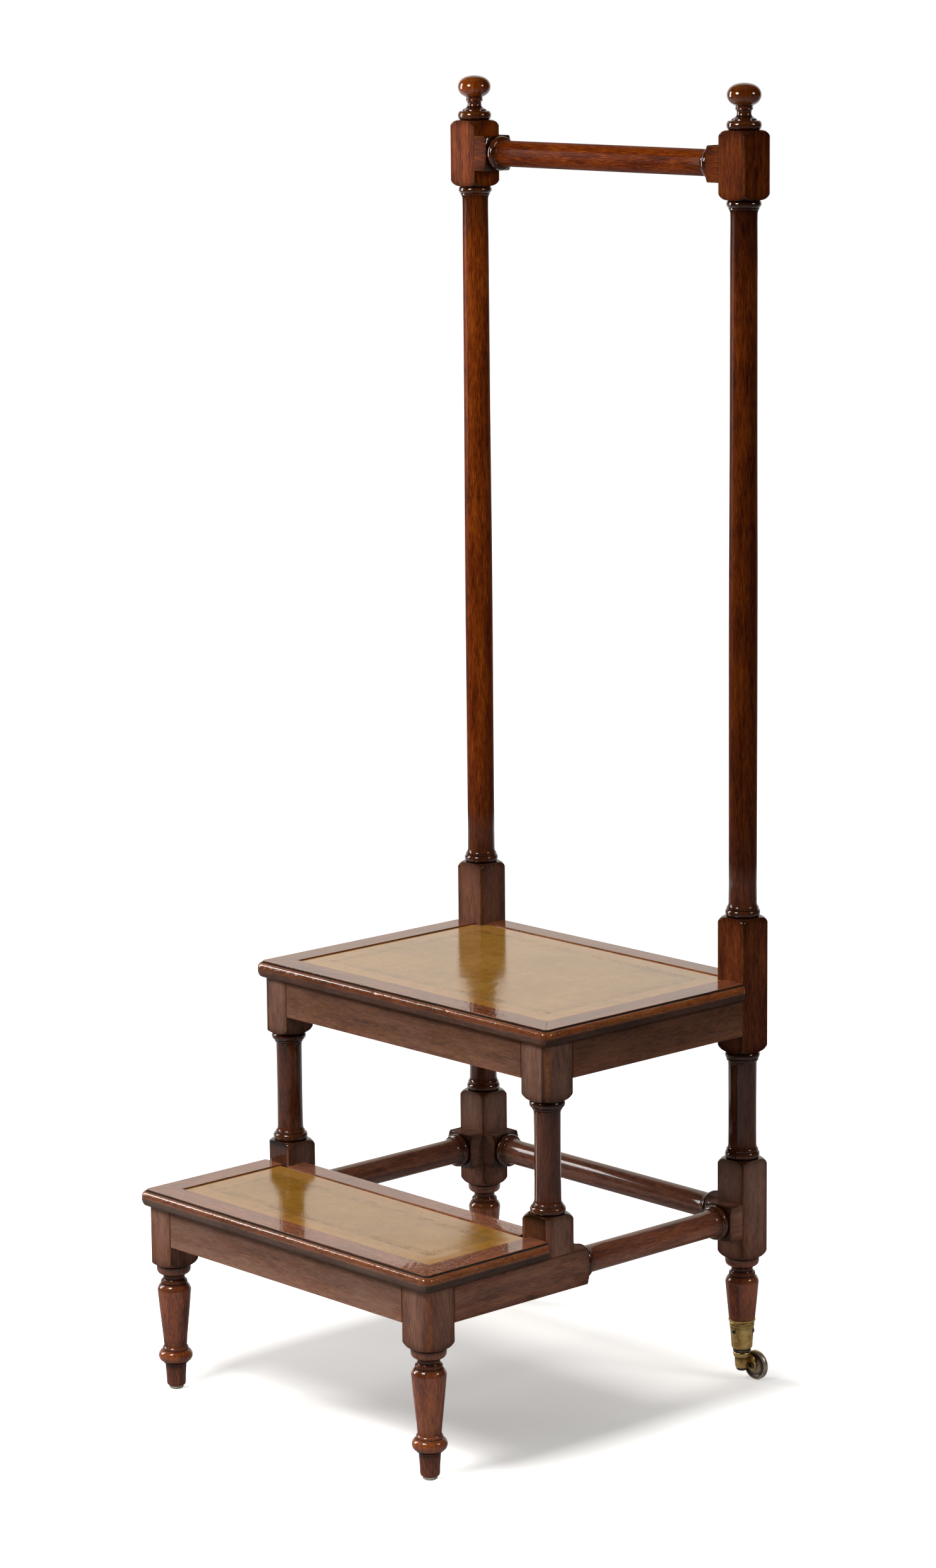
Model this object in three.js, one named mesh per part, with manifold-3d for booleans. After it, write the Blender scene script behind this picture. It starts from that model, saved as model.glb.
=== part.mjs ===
// Library steps: two leather-topped treads on turned legs, with two tall rear posts joined by a rail.
// Millimetres, +Z up, the front towards -Y. The origin is the bottom centre of the bounding box.
import * as THREE from 'three';
import { mergeVertices } from 'three/addons/utils/BufferGeometryUtils.js';
import Module from 'manifold-3d';

const wasm = await Module();
wasm.setup();

// Layout: the axes of the posts and legs, and the heights that people use
const post_spacing = 435;
const upper_depth = 308;
const lower_depth = 179;
const lower_tread_top = 237.5;
const upper_tread_top = 476.5;
const top_rail_height = 1394;
const leg_height = 149;

// Clearances: between touching pieces, and how far a cut runs past what it cuts
const fit_gap = 0.3;
const overrun = 4;

// Squared stock of the posts, legs and rails, and the turned shoulders at its ends
const block_side = 40.5;
const block_half = block_side / 2;
const corner_share = 1.45;
const corner_reach = block_half * corner_share;
const corner_round = 9;
const shoulder_height = 10.2;
const shoulder_root = 18.6;
const shoulder_steps = 4;

// Beads and fillets that end every column and rod
const bead_radius = 20;
const bead_height = 9.3;
const bead_depth = 3;
const bead_steps = 4;
const fillet_height = 2.6;
const fillet_proud = 1.3;

// Facets round a turned piece, a dowel or pin, and a rounded corner
const turned_sides = 16;
const pin_sides = 12;
const wheel_sides = 32;
const corner_steps = 4;

// Round tenons on the rails and posts, and flat tenons on the aprons
const tenon_radius = 8;
const tenon_length = 9;
const apron_tenon_thickness = 8;
const apron_tenon_inset = 7;

// Treads: a moulded border round a panel, with the leather let in
const tread_thickness = 19.5;
const border_reach = 22;
const border_inset = 8.3;
const nose_reach = 28;
const nose_root = 21;
const nose_step = 2;
const nose_steps = 4;
const border_corner_round = 5;
const ledge_width = 8;
const ledge_thickness = 5.2;
const leather_sink = 1.2;
const leather_thickness = 1.5;
const upper_back_inner = 9.7;
const upper_back_outer = 17;
const lower_back_inner = 23.2;
const lower_back_outer = 3;

// Aprons under the treads, and the glue blocks inside them
const apron_height = 41.5;
const apron_thickness = 20;
const back_apron_inset = 2;
const glue_block_side = 16;
const glue_block_length = 45;
const glue_block_offset = 70;

// Rear posts: squared lengths above and below the rails, and the columns between them
const stretcher_block_above = 69;
const tread_block_below = 23.2;
const tread_block_above = 72.5;
const top_block_below = 39;
const top_block_above = 37.8;
const low_column_radius = 16.2;
const high_column_foot_radius = 16;
const high_column_belly_radius = 16.2;
const high_column_head_radius = 14.9;
const high_column_belly_share = 0.36;

// Finial on each rear post
const finial_bead_height = 10.2;
const finial_bead_radius = 19.4;
const finial_fillet_radius = 13;
const finial_neck_radius = 8;
const finial_neck_height = 8.5;
const finial_collar_radius = 8.9;
const finial_collar_height = 3.4;
const finial_ball_radius = 19.1;
const finial_ball_height = 26.4;
const finial_ball_steps = 7;
const ball_fullness_share = 0.75;

// Middle posts between the treads
const mid_column_radius = 14.8;
const mid_block_above = 25.5;

// Turned head shared by the front legs and the rear posts' feet
const collar_radius = 19.5;
const collar_height = 7.5;
const collar_lip = 4;
const neck_radius = 12.5;
const neck_height = 5.5;
const astragal_radius = 14.4;
const astragal_height = 3.4;
const knee_radius = 19.5;
const knee_height = 11;

// Front legs below the head
const ankle_radius = 13.1;
const foot_bead_radius = 19.5;
const foot_bead_height = 15;
const foot_bead_top = 47.5;
const foot_fillet_height = 4;
const foot_top_radius = 12.2;
const foot_bottom_radius = 10.7;
const glide_height = 4.1;
const glide_radius = 8.4;
const glide_face_radius = 5.5;
const glide_pin_radius = 3;
const glide_pin_length = 12;

// Rear feet, which taper into the castor cups
const rear_ankle_radius = 15.2;
const cup_rim_top = 74;
const cup_rim_radius = 15.9;
const cup_rim_height = 4.6;
const cup_top_radius = 14.2;
const cup_bottom_radius = 12.1;
const cup_bottom = 38.4;
const cup_floor = 2.6;
const cup_wall = 1.5;
const cup_round = 2.2;
const cup_screw_height = 60;
const cup_screw_radius = 1.3;
const cup_screw_head_radius = 2.7;
const cup_screw_sink = 1.4;
const cup_screw_dome = 0.7;
const cup_screw_length = 7;
const cup_screw_count = 3;
const dome_share = 0.55;

// Castor below the cup: washer, swivel pin, horn, axle and wheel
const swivel_washer_radius = 10.4;
const swivel_washer_thickness = 3.4;
const swivel_pin_radius = 3.2;
const swivel_pin_head_radius = 6.5;
const swivel_pin_head_height = 3.6;
const horn_collar_radius = 10.2;
const horn_collar_height = 5.2;
const horn_boss_radius = 8.4;
const horn_bottom = 15;
const horn_arm_thickness = 3.2;
const horn_eye_radius = 6.5;
const castor_trail = 10;
const castor_offset = 12.8;
const wheel_radius = 17.2;
const wheel_width = 6.6;
const wheel_rim_depth = 3.4;
const wheel_web_width = 3.4;
const wheel_hub_radius = 5;
const wheel_side_gap = 0.5;
const axle_radius = 2.4;
const axle_head_radius = 3.8;
const axle_head_height = 1.4;

// Rails: the squared pads at their ends and the rods between
const pad_length = 20;
const pad_shoulder = 5.5;
const rod_radius = 15;
const side_block_past_post = 44;

// Places worked out from the sizes above
const half_spacing = post_spacing / 2;
const rear_y = (upper_depth + lower_depth + nose_reach - block_half) / 2;
const mid_y = rear_y - upper_depth;
const front_y = mid_y - lower_depth;
const upper_underside = upper_tread_top - tread_thickness;
const lower_underside = lower_tread_top - tread_thickness;
const stretcher_height = lower_underside - fit_gap - apron_height / 2;
const upper_apron_bottom = upper_underside - fit_gap - apron_height;
const sides = { left: -1, right: 1 };

// Materials
const wood = { color: 0x4f2115, roughness: 0.32, metalness: 0 };
const leather = { color: 0xa9833f, roughness: 0.45, metalness: 0 };
const brass = { color: 0x9a7a35, roughness: 0.38, metalness: 1 };
const steel = { color: 0x3c3833, roughness: 0.45, metalness: 1 };
const nickel = { color: 0xb8ac94, roughness: 0.3, metalness: 1 };

const steps = new THREE.Group();

function named_mesh(name, solid, stuff) {
  const mesh = new THREE.Mesh(geometry_of(solid), new THREE.MeshStandardMaterial(stuff));
  mesh.name = name;
  return mesh;
}

// A closed three.js geometry as a solid that can be joined and cut
function solid_of(geometry) {
  const bare = geometry.clone();
  bare.deleteAttribute('normal');
  bare.deleteAttribute('uv');
  const merged = mergeVertices(bare);
  const index = merged.index.array;
  const kept = [];
  for (let i = 0; i < index.length; i += 3) {
    const [a, b, c] = [index[i], index[i + 1], index[i + 2]];
    if (a !== b && b !== c && c !== a) kept.push(a, b, c);
  }
  const vertProperties = new Float32Array(merged.attributes.position.array);
  const triVerts = new Uint32Array(kept);
  return new wasm.Manifold(new wasm.Mesh({ numProp: 3, vertProperties, triVerts }));
}

function geometry_of(solid) {
  const { vertProperties, triVerts } = solid.getMesh();
  const geometry = new THREE.BufferGeometry();
  geometry.setAttribute('position', new THREE.BufferAttribute(new Float32Array(vertProperties), 3));
  geometry.setIndex(new THREE.BufferAttribute(new Uint32Array(triVerts), 1));
  geometry.computeVertexNormals();
  return geometry;
}

const cut = (solid, ...tools) => tools.reduce((rest, tool) => rest.subtract(tool), solid);
const join = (solid, ...others) => others.reduce((whole, other) => whole.add(other), solid);

// A box between two corners
function box(low, high) {
  const size = high.map((value, i) => value - low[i]);
  const geometry = new THREE.BoxGeometry(...size);
  return solid_of(geometry.translate(...high.map((value, i) => (value + low[i]) / 2)));
}

// A solid turned about Z from [radius, height] pairs, then laid along X or Y where it is a rail
function turned(profile, count = turned_sides, axis = 'z') {
  const closed = [[0, profile[0][1]], ...profile, [0, profile.at(-1)[1]]];
  const geometry = new THREE.LatheGeometry(closed.map(([r, z]) => new THREE.Vector2(r, z)), count);
  geometry.rotateX(Math.PI / 2);
  if (axis === 'x') geometry.rotateY(Math.PI / 2);
  if (axis === 'y') geometry.rotateX(-Math.PI / 2);
  return solid_of(geometry);
}

// A round pin between two heights along an axis through a place
function pin(radius, low, high, axis = 'z', place = [0, 0, 0]) {
  return turned([[radius, low], [radius, high]], pin_sides, axis).translate(place);
}

// A prism of a plan outline between two heights
function prism(outline, low, high) {
  const shape = new THREE.Shape(outline.map(([x, y]) => new THREE.Vector2(x, y)));
  const geometry = new THREE.ExtrudeGeometry(shape, { depth: high - low, bevelEnabled: false });
  return solid_of(geometry.translate(0, 0, low));
}

// Points of a quarter turn about a centre
function arc(x, y, radius, from, count = corner_steps) {
  return Array.from({ length: count + 1 }, (_, i) => {
    const angle = from + (Math.PI / 2) * (i / count);
    return [x + radius * Math.cos(angle), y + radius * Math.sin(angle)];
  });
}

// Squared stock with its front corner on one side rounded
function rounded_stock(side, low, high) {
  const inner = block_half - corner_round;
  const corner = side < 0 ? arc(-inner, -inner, corner_round, Math.PI)
    : arc(inner, -inner, corner_round, -Math.PI / 2);
  const rest = side < 0 ? [[block_half, -block_half], [block_half, block_half], [-block_half, block_half]]
    : [[block_half, block_half], [-block_half, block_half], [-block_half, -block_half]];
  return prism([...corner, ...rest], low, high);
}

const square_stock = (low, high) => box([-block_half, -block_half, low], [block_half, block_half, high]);

// Turned outlines, each a list of [radius, height] pairs from the bottom up
function bead(low, height = bead_height, crown = bead_radius, root = crown - bead_depth) {
  return Array.from({ length: bead_steps + 1 }, (_, i) => {
    const angle = Math.PI * (i / bead_steps);
    return [root + (crown - root) * Math.sin(angle), low + height * (1 - Math.cos(angle)) / 2];
  });
}

// A quarter round from the turned root out to the full block
function shoulder_above(low, height = shoulder_height) {
  return Array.from({ length: shoulder_steps + 1 }, (_, i) => {
    const angle = (Math.PI / 2) * (i / shoulder_steps);
    const radius = shoulder_root + (corner_reach - shoulder_root) * Math.sin(angle);
    return [radius, low + height * (1 - Math.cos(angle))];
  });
}

const shoulder_below = (high, height = shoulder_height) =>
  shoulder_above(0, height).map(([r, z]) => [r, high - z]).reverse();

// A bead and a fillet on top of a block, where a column stands
const column_foot = (low, radius) => [
  ...bead(low),
  [radius + fillet_proud, low + bead_height],
  [radius + fillet_proud, low + bead_height + fillet_height],
  [radius, low + bead_height + fillet_height * 2],
];

const column_head = (high, radius) => column_foot(0, radius).map(([r, z]) => [r, high - z]).reverse();

// The turned head under a block: collar, neck, astragal and knee, down to the tapered leg
function leg_head(high) {
  const collar_low = high - collar_height;
  const neck_top = collar_low - collar_lip;
  const neck_low = neck_top - neck_height;
  const astragal_low = neck_low - astragal_height;
  return [
    [knee_radius, astragal_low - knee_height],
    [knee_radius - fillet_proud / 2, astragal_low - knee_height / 2],
    [astragal_radius + fillet_proud, astragal_low],
    [astragal_radius, astragal_low],
    [astragal_radius, neck_low],
    [neck_radius, neck_low + fillet_height],
    [neck_radius, neck_top],
    [collar_radius - collar_lip, neck_top],
    [collar_radius - collar_lip / 4, collar_low - collar_lip / 2],
    [collar_radius, collar_low],
    [collar_radius, high],
  ];
}

// Rear posts: one turned length each, from the castor spigot to the finial
function spigot(clear) {
  const slope = (cup_top_radius - cup_bottom_radius) / (cup_rim_top - cup_bottom);
  const low = cup_bottom + cup_floor + fit_gap - clear;
  return [
    [cup_bottom_radius + slope * (low - cup_bottom) - cup_wall - fit_gap + clear, low],
    [cup_top_radius - cup_wall - fit_gap + clear, cup_rim_top + fit_gap + clear],
  ];
}

function finial(low) {
  const fillet_low = low + finial_bead_height;
  const neck_low = fillet_low + fillet_height;
  const collar_low = neck_low + finial_neck_height;
  const ball_low = collar_low + finial_collar_height;
  const ball = Array.from({ length: finial_ball_steps }, (_, i) => {
    const angle = Math.PI * (i + 1) / (finial_ball_steps + 1);
    const radius = finial_ball_radius * Math.sin(angle) ** ball_fullness_share;
    return [radius, ball_low + finial_ball_height * (1 - Math.cos(angle)) / 2];
  });
  return [
    ...bead(low, finial_bead_height, finial_bead_radius),
    [finial_fillet_radius, fillet_low],
    [finial_fillet_radius, neck_low],
    [finial_neck_radius + fillet_proud, neck_low + finial_neck_height / 4],
    [finial_neck_radius, neck_low + finial_neck_height / 2],
    [finial_collar_radius, collar_low],
    [finial_collar_radius, ball_low],
    ...ball,
    [finial_neck_radius / 2, ball_low + finial_ball_height],
  ];
}

function rear_post(side) {
  const stretcher_high = stretcher_height + stretcher_block_above;
  const tread_low = upper_apron_bottom - tread_block_below;
  const tread_high = upper_tread_top + tread_block_above;
  const top_low = top_rail_height - top_block_below;
  const top_high = top_rail_height + top_block_above;
  const belly = tread_high + (top_low - tread_high) * high_column_belly_share;
  const profile = [
    ...spigot(0),
    [rear_ankle_radius, cup_rim_top + fit_gap],
    ...leg_head(leg_height),
    ...shoulder_above(leg_height),
    ...shoulder_below(stretcher_high),
    ...column_foot(stretcher_high, low_column_radius),
    ...column_head(tread_low, low_column_radius),
    ...shoulder_above(tread_low),
    ...shoulder_below(tread_high),
    ...column_foot(tread_high, high_column_foot_radius),
    [high_column_belly_radius, belly],
    ...column_head(top_low, high_column_head_radius),
    ...shoulder_above(top_low),
    ...shoulder_below(top_high),
    ...finial(top_high),
  ];
  const stock = square_stock(0, top_high * 2);
  const inner = -side * block_half;
  const mortise_end = inner + side * (tenon_length + fit_gap);
  const along = [inner - side * overrun, mortise_end].sort((a, b) => a - b);
  const socket = (height) => pin(tenon_radius + fit_gap, ...along, 'x', [0, 0, height]);
  const side_socket = pin(tenon_radius + fit_gap, -block_half - overrun, tenon_length + fit_gap - block_half,
    'y', [0, 0, stretcher_height]);
  const bores = screw_places().map(([x, y, angle]) => cup_screw(x, y, angle, fit_gap));
  return cut(turned(profile).intersect(stock), socket(stretcher_height), socket(top_rail_height), side_socket,
    ...apron_mortises(side, 'rear'), ...bores);
}

// Middle posts stand on the side rails, through the lower tread, and carry the upper one
function mid_post(side) {
  const low = lower_underside;
  const block_high = lower_tread_top + mid_block_above;
  const upper_low = upper_apron_bottom - tread_block_below;
  const high = upper_underside - fit_gap;
  const profile = [
    [corner_reach, low],
    ...shoulder_below(block_high),
    ...column_foot(block_high, mid_column_radius),
    ...column_head(upper_low, mid_column_radius),
    ...shoulder_above(upper_low),
    [corner_reach, high],
  ];
  const middle = (block_high + upper_low) / 2;
  const stock = join(square_stock(low, middle + overrun), rounded_stock(side, middle, high));
  const dowel = pin(tenon_radius, low - tenon_length, low + overrun);
  return cut(join(turned(profile).intersect(stock), dowel), ...apron_mortises(side, 'mid'));
}

function front_leg(side) {
  const foot_low = glide_height + fit_gap;
  const bead_low = foot_bead_top - foot_bead_height;
  const high = lower_underside - fit_gap;
  const profile = [
    [foot_bottom_radius, foot_low],
    [foot_top_radius, bead_low - foot_fillet_height],
    [foot_top_radius + fillet_proud, bead_low],
    ...bead(bead_low, foot_bead_height, foot_bead_radius, foot_bead_radius - bead_depth * 2),
    [ankle_radius + fillet_proud, foot_bead_top],
    [ankle_radius + fillet_proud, foot_bead_top + foot_fillet_height / 2],
    [ankle_radius, foot_bead_top + foot_fillet_height],
    ...leg_head(leg_height),
    ...shoulder_above(leg_height),
    [corner_reach, high],
  ];
  const stock = rounded_stock(side, 0, high);
  const rail_socket = pin(tenon_radius + fit_gap, block_half - tenon_length - fit_gap, block_half + overrun,
    'y', [0, 0, stretcher_height]);
  const pin_bore = pin(glide_pin_radius + fit_gap, 0, foot_low + glide_pin_length + fit_gap);
  return cut(turned(profile).intersect(stock), rail_socket, pin_bore, ...apron_mortises(side, 'front'));
}

// A domed glide with its pin, under each front leg
function glide() {
  const profile = [
    [glide_face_radius, 0],
    [glide_radius - fillet_proud / 2, glide_height / 3],
    [glide_radius, glide_height],
    [glide_pin_radius, glide_height],
    [glide_pin_radius, glide_height + glide_pin_length],
  ];
  return turned(profile);
}

// Mortises for the apron tenons, cut into the blocks of one post or leg
function apron_mortises(side, which) {
  const upper = which !== 'front';
  const low = upper ? upper_apron_bottom : stretcher_height - apron_height / 2;
  const heights = [low + apron_tenon_inset - fit_gap, low + apron_height - apron_tenon_inset + fit_gap];
  const half = apron_tenon_thickness / 2 + fit_gap;
  const deep = block_half - tenon_length - fit_gap;
  const across = side < 0 ? [deep, block_half + overrun] : [-block_half - overrun, -deep];
  const front_board = apron_thickness / 2 - block_half;
  const back_board = upper_back_outer - back_apron_inset - apron_thickness / 2;
  const board = which === 'rear' ? back_board : front_board;
  const cuts = [box([across[0], board - half, heights[0]], [across[1], board + half, heights[1]])];
  if (!upper) return cuts;
  const outer = -side * front_board;
  const depth = which === 'rear' ? [-block_half - overrun, -deep] : [deep, block_half + overrun];
  cuts.push(box([outer - half, depth[0], heights[0]], [outer + half, depth[1], heights[1]]));
  return cuts;
}

// Rails lie along X or Y; their outline runs from the first end to the last
const bead_and_fillet = (low, radius) => [
  ...bead(low),
  [radius + fillet_proud, low + bead_height],
  [radius + fillet_proud, low + bead_height + fillet_height],
  [radius, low + bead_height + fillet_height],
];

// A pad with its round tenon, shoulder, bead and fillet, up to the rod
const pad_end = (start) => [
  [tenon_radius, start - tenon_length],
  [tenon_radius, start],
  [corner_reach, start],
  [corner_reach, start + pad_length - pad_shoulder],
  ...shoulder_below(start + pad_length, pad_shoulder).slice(1),
  ...bead_and_fillet(start + pad_length, rod_radius),
];

const mirrored = (profile, whole) => profile.map(([r, z]) => [r, whole - z]).reverse();

function cross_rail() {
  const half = half_spacing - block_half - fit_gap;
  const start = pad_end(-half);
  const stock = box([-half * 2, -block_half, -block_half], [half * 2, block_half, block_half]);
  return turned([...start, ...mirrored(start, 0)], turned_sides, 'x').intersect(stock);
}

// The side rail is squared under the lower tread and turned from there to the rear post
function side_rail(side) {
  const start = front_y + block_half + fit_gap;
  const block_end = mid_y + side_block_past_post;
  const end = rear_y - block_half - fit_gap;
  const profile = [
    [tenon_radius, start - tenon_length],
    [tenon_radius, start],
    [corner_reach, start],
    ...shoulder_below(block_end, pad_shoulder),
    ...bead_and_fillet(block_end, rod_radius),
    ...mirrored(pad_end(0), end),
  ];
  const half_height = apron_height / 2;
  const stock = box([-block_half, front_y, -half_height], [block_half, rear_y, half_height]);
  const dowel_hole = pin(tenon_radius + fit_gap, half_height - tenon_length - fit_gap, half_height + overrun,
    'z', [0, mid_y, 0]);
  const inner = -side * block_half;
  const mortise_end = inner + side * (tenon_length + fit_gap);
  const board_y = mid_y + lower_back_outer - back_apron_inset - apron_thickness / 2;
  const half_thickness = apron_tenon_thickness / 2 + fit_gap;
  const half_tenon = half_height - apron_tenon_inset + fit_gap;
  const mortise = box(
    [Math.min(inner - side * overrun, mortise_end), board_y - half_thickness, -half_tenon],
    [Math.max(inner - side * overrun, mortise_end), board_y + half_thickness, half_tenon],
  );
  return cut(turned(profile, turned_sides, 'y').intersect(stock), dowel_hole, mortise);
}

// An apron board with a flat tenon at each end, along X about its middle
function apron(length) {
  const half = length / 2 - fit_gap;
  const tenon_half = half + tenon_length;
  const thick = apron_thickness / 2;
  const tall = apron_height / 2;
  const tongue = apron_tenon_thickness / 2;
  const tongue_tall = tall - apron_tenon_inset;
  return join(box([-half, -thick, -tall], [half, thick, tall]),
    box([-tenon_half, -tongue, -tongue_tall], [tenon_half, tongue, tongue_tall]));
}

// Treads are built about the middle of their front legs' axes, with their top at zero height
function tread_blank(depth) {
  const stop = depth - block_half - fit_gap;
  const outline = (reach) => {
    const x = half_spacing + reach;
    const front_round = border_corner_round + Math.max(reach - border_reach, nose_root - border_reach);
    const back_round = Math.max(reach - block_half, fit_gap);
    return [
      ...arc(-x + front_round, -reach + front_round, front_round, Math.PI),
      ...arc(x - front_round, -reach + front_round, front_round, -Math.PI / 2),
      ...arc(x - back_round, stop - back_round, back_round, 0),
      ...arc(-x + back_round, stop - back_round, back_round, Math.PI / 2),
    ];
  };
  const nose_middle = -(tread_thickness + nose_step) / 2;
  const nose_half = (tread_thickness - nose_step) / 2;
  const levels = [];
  for (let i = -nose_steps; i <= nose_steps; i += 1) {
    const angle = (Math.PI / 2) * (i / nose_steps);
    const root = i < 0 ? nose_root : border_reach;
    levels.push([root + (nose_reach - root) * Math.cos(angle), nose_middle + nose_half * Math.sin(angle)]);
  }
  levels.push([border_reach, 0]);
  return lofted(levels.map(([reach, z]) => outline(reach).map(([x, y]) => [x, y, z])));
}

// A closed solid through rings of points, all convex and with the same count
function lofted(rings) {
  const count = rings[0].length;
  const positions = rings.flat(2);
  const index = [];
  for (let level = 0; level + 1 < rings.length; level += 1) {
    for (let i = 0; i < count; i += 1) {
      const [a, b] = [level * count + i, level * count + ((i + 1) % count)];
      index.push(a, b, b + count, a, b + count, a + count);
    }
  }
  const last = (rings.length - 1) * count;
  for (let i = 1; i + 1 < count; i += 1) {
    index.push(0, i + 1, i, last, last + i, last + i + 1);
  }
  const geometry = new THREE.BufferGeometry();
  geometry.setAttribute('position', new THREE.Float32BufferAttribute(positions, 3));
  geometry.setIndex(index);
  return solid_of(geometry);
}

// The blocks of the two posts at a tread's back corners, a gap larger all round
function post_blocks(depth) {
  const reach = block_half + fit_gap;
  return Object.values(sides).map((side) => box(
    [side * half_spacing - reach, depth - reach, -tread_thickness - overrun],
    [side * half_spacing + reach, depth + reach, overrun],
  ));
}

function tread(depth, back_inner, back_outer) {
  const inner_x = half_spacing - border_inset;
  const back = depth - back_inner;
  const ledge_top = ledge_thickness - tread_thickness;
  const stop = depth + overrun;
  const recess = box([-inner_x, border_inset, ledge_top], [inner_x, stop, overrun]);
  const window_low = [ledge_width - inner_x, border_inset + ledge_width, -tread_thickness - overrun];
  const window = box(window_low, [inner_x - ledge_width, stop, overrun]);
  const back_room = box([-inner_x, back - fit_gap, -tread_thickness - overrun], [inner_x, stop, overrun]);
  const frame = cut(tread_blank(depth), recess, window, back_room);

  // The mitres run through the border's outer and inner corners
  const far = nose_reach * 2;
  const near = border_inset * 2 + ledge_width;
  const side_zone = (side, shift) => {
    const x = half_spacing - shift;
    const outline = [[x + far, -far], [x + far, stop], [x - near, stop], [x - near, near]];
    const placed = outline.map(([px, py]) => [side * px, py]);
    return prism(side < 0 ? placed.reverse() : placed, -tread_thickness - overrun, overrun);
  };
  const front = cut(frame, side_zone(-1, fit_gap), side_zone(1, fit_gap));

  // The back border stands between the posts, with a ledge forward under the panel
  const back_x = inner_x - fit_gap;
  const back_board = cut(box([-back_x, back, -tread_thickness], [back_x, depth + back_outer, 0]),
    ...post_blocks(depth));
  const ledge_x = inner_x - ledge_width - fit_gap;
  const ledge_low = [-ledge_x, back - ledge_width, -tread_thickness];
  const back_ledge = cut(box(ledge_low, [ledge_x, back + overrun, ledge_top]), ...post_blocks(depth));

  // The panel and the leather fill the border's opening, notched round the posts
  const fill = (high, low) => cut(
    box([fit_gap - inner_x, border_inset + fit_gap, low], [inner_x - fit_gap, back - fit_gap, high]),
    ...post_blocks(depth),
  );
  const leather_bottom = -leather_sink - leather_thickness;
  return {
    border_front: [front, wood],
    border_left: [frame.intersect(side_zone(-1, 0)), wood],
    border_right: [frame.intersect(side_zone(1, 0)), wood],
    border_back: [join(back_board, back_ledge), wood],
    panel: [fill(leather_bottom - fit_gap, ledge_top + fit_gap), wood],
    leather: [fill(-leather_sink, leather_bottom), leather],
  };
}

// Glue blocks behind the front and back aprons, under the tread
function glue_block() {
  const half = glue_block_side / 2;
  return box([-glue_block_length / 2, -half, -half], [glue_block_length / 2, half, half]);
}

// Castor pieces are built about the swivel axis; the wheel trails towards +X, behind its arm
function cup() {
  const rim_low = cup_rim_top - cup_rim_height;
  const outside = [
    [cup_bottom_radius - cup_round, cup_bottom],
    [cup_bottom_radius, cup_bottom + cup_round],
    [cup_top_radius, rim_low],
    [cup_rim_radius, rim_low + cup_rim_height / 3],
    [cup_rim_radius, cup_rim_top],
  ];
  const pin_bore = pin(swivel_pin_radius + fit_gap, cup_bottom - overrun, cup_bottom + cup_floor + overrun);
  const bores = screw_places().map(([x, y, angle]) => cup_screw(x, y, angle, fit_gap));
  return cut(turned(outside), turned(spigot(fit_gap)), pin_bore, ...bores);
}

function screw_places() {
  return Array.from({ length: cup_screw_count }, (_, i) => {
    const angle = Math.PI * (2 * i / cup_screw_count + 1 / 6);
    const slope = (cup_top_radius - cup_bottom_radius) / (cup_rim_top - cup_bottom);
    const surface = cup_bottom_radius + slope * (cup_screw_height - cup_bottom);
    return [surface * Math.cos(angle), surface * Math.sin(angle), angle];
  });
}

// A countersunk screw that points at the axis, its head a little proud of the cup
function cup_screw(x, y, angle, clear) {
  const outside = clear ? [[cup_screw_head_radius + clear, overrun]]
    : [[cup_screw_head_radius * dome_share, cup_screw_dome]];
  const shank = turned([
    [cup_screw_radius / 2 + clear, -cup_screw_length - clear],
    [cup_screw_radius + clear, -cup_screw_sink - clear],
    [cup_screw_head_radius + clear, 0],
    ...outside,
  ], pin_sides, 'x');
  return shank.rotate([0, 0, THREE.MathUtils.radToDeg(angle)]).translate([x, y, cup_screw_height]);
}

function swivel_washer() {
  const high = cup_bottom - fit_gap;
  const low = high - swivel_washer_thickness;
  const disc = pin(swivel_washer_radius, low, high);
  return cut(disc, pin(swivel_pin_radius + fit_gap, low - overrun, high + overrun));
}

function swivel_pin() {
  const head_low = horn_bottom - fit_gap - swivel_pin_head_height;
  return turned([
    [swivel_pin_head_radius / 2, head_low],
    [swivel_pin_head_radius, head_low + swivel_pin_head_height / 2],
    [swivel_pin_head_radius, head_low + swivel_pin_head_height],
    [swivel_pin_radius, head_low + swivel_pin_head_height],
    [swivel_pin_radius, cup_bottom + cup_floor],
  ], pin_sides);
}

const axle_place = [castor_trail, castor_offset, wheel_radius];

function horn() {
  const high = cup_bottom - swivel_washer_thickness - fit_gap * 2;
  const collar_low = high - horn_collar_height;
  const boss = turned([
    [horn_boss_radius, horn_bottom],
    [horn_boss_radius, collar_low],
    [horn_collar_radius, collar_low + fillet_height / 2],
    [horn_collar_radius, high],
  ]);
  const wheel_face = castor_offset - wheel_width / 2 - wheel_side_gap;
  const arm = horn_arm(wheel_face - horn_arm_thickness, collar_low);
  const clear_wheel = pin(wheel_radius + wheel_side_gap, -wheel_width / 2 - wheel_side_gap, block_side, 'y',
    axle_place);
  const bores = [
    pin(swivel_pin_radius + fit_gap, horn_bottom - overrun, high + overrun),
    pin(axle_radius + fit_gap, -block_side, overrun, 'y', axle_place),
  ];
  return cut(join(boss, arm), clear_wheel, ...bores);
}

// The arm of the horn: a plate from the boss to a round eye about the axle
function horn_arm(y, top) {
  const eye = [...arc(castor_trail, wheel_radius, horn_eye_radius, -Math.PI / 2),
    ...arc(castor_trail, wheel_radius, horn_eye_radius, 0).slice(1)];
  const outline = [[0, wheel_radius], ...eye, [horn_boss_radius, top], [0, top]];
  const shape = new THREE.Shape(outline.map(([x, z]) => new THREE.Vector2(x, z)));
  const plate = new THREE.ExtrudeGeometry(shape, { depth: horn_arm_thickness, bevelEnabled: false });
  return solid_of(plate.rotateX(Math.PI / 2).translate(0, y + horn_arm_thickness, 0));
}

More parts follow.
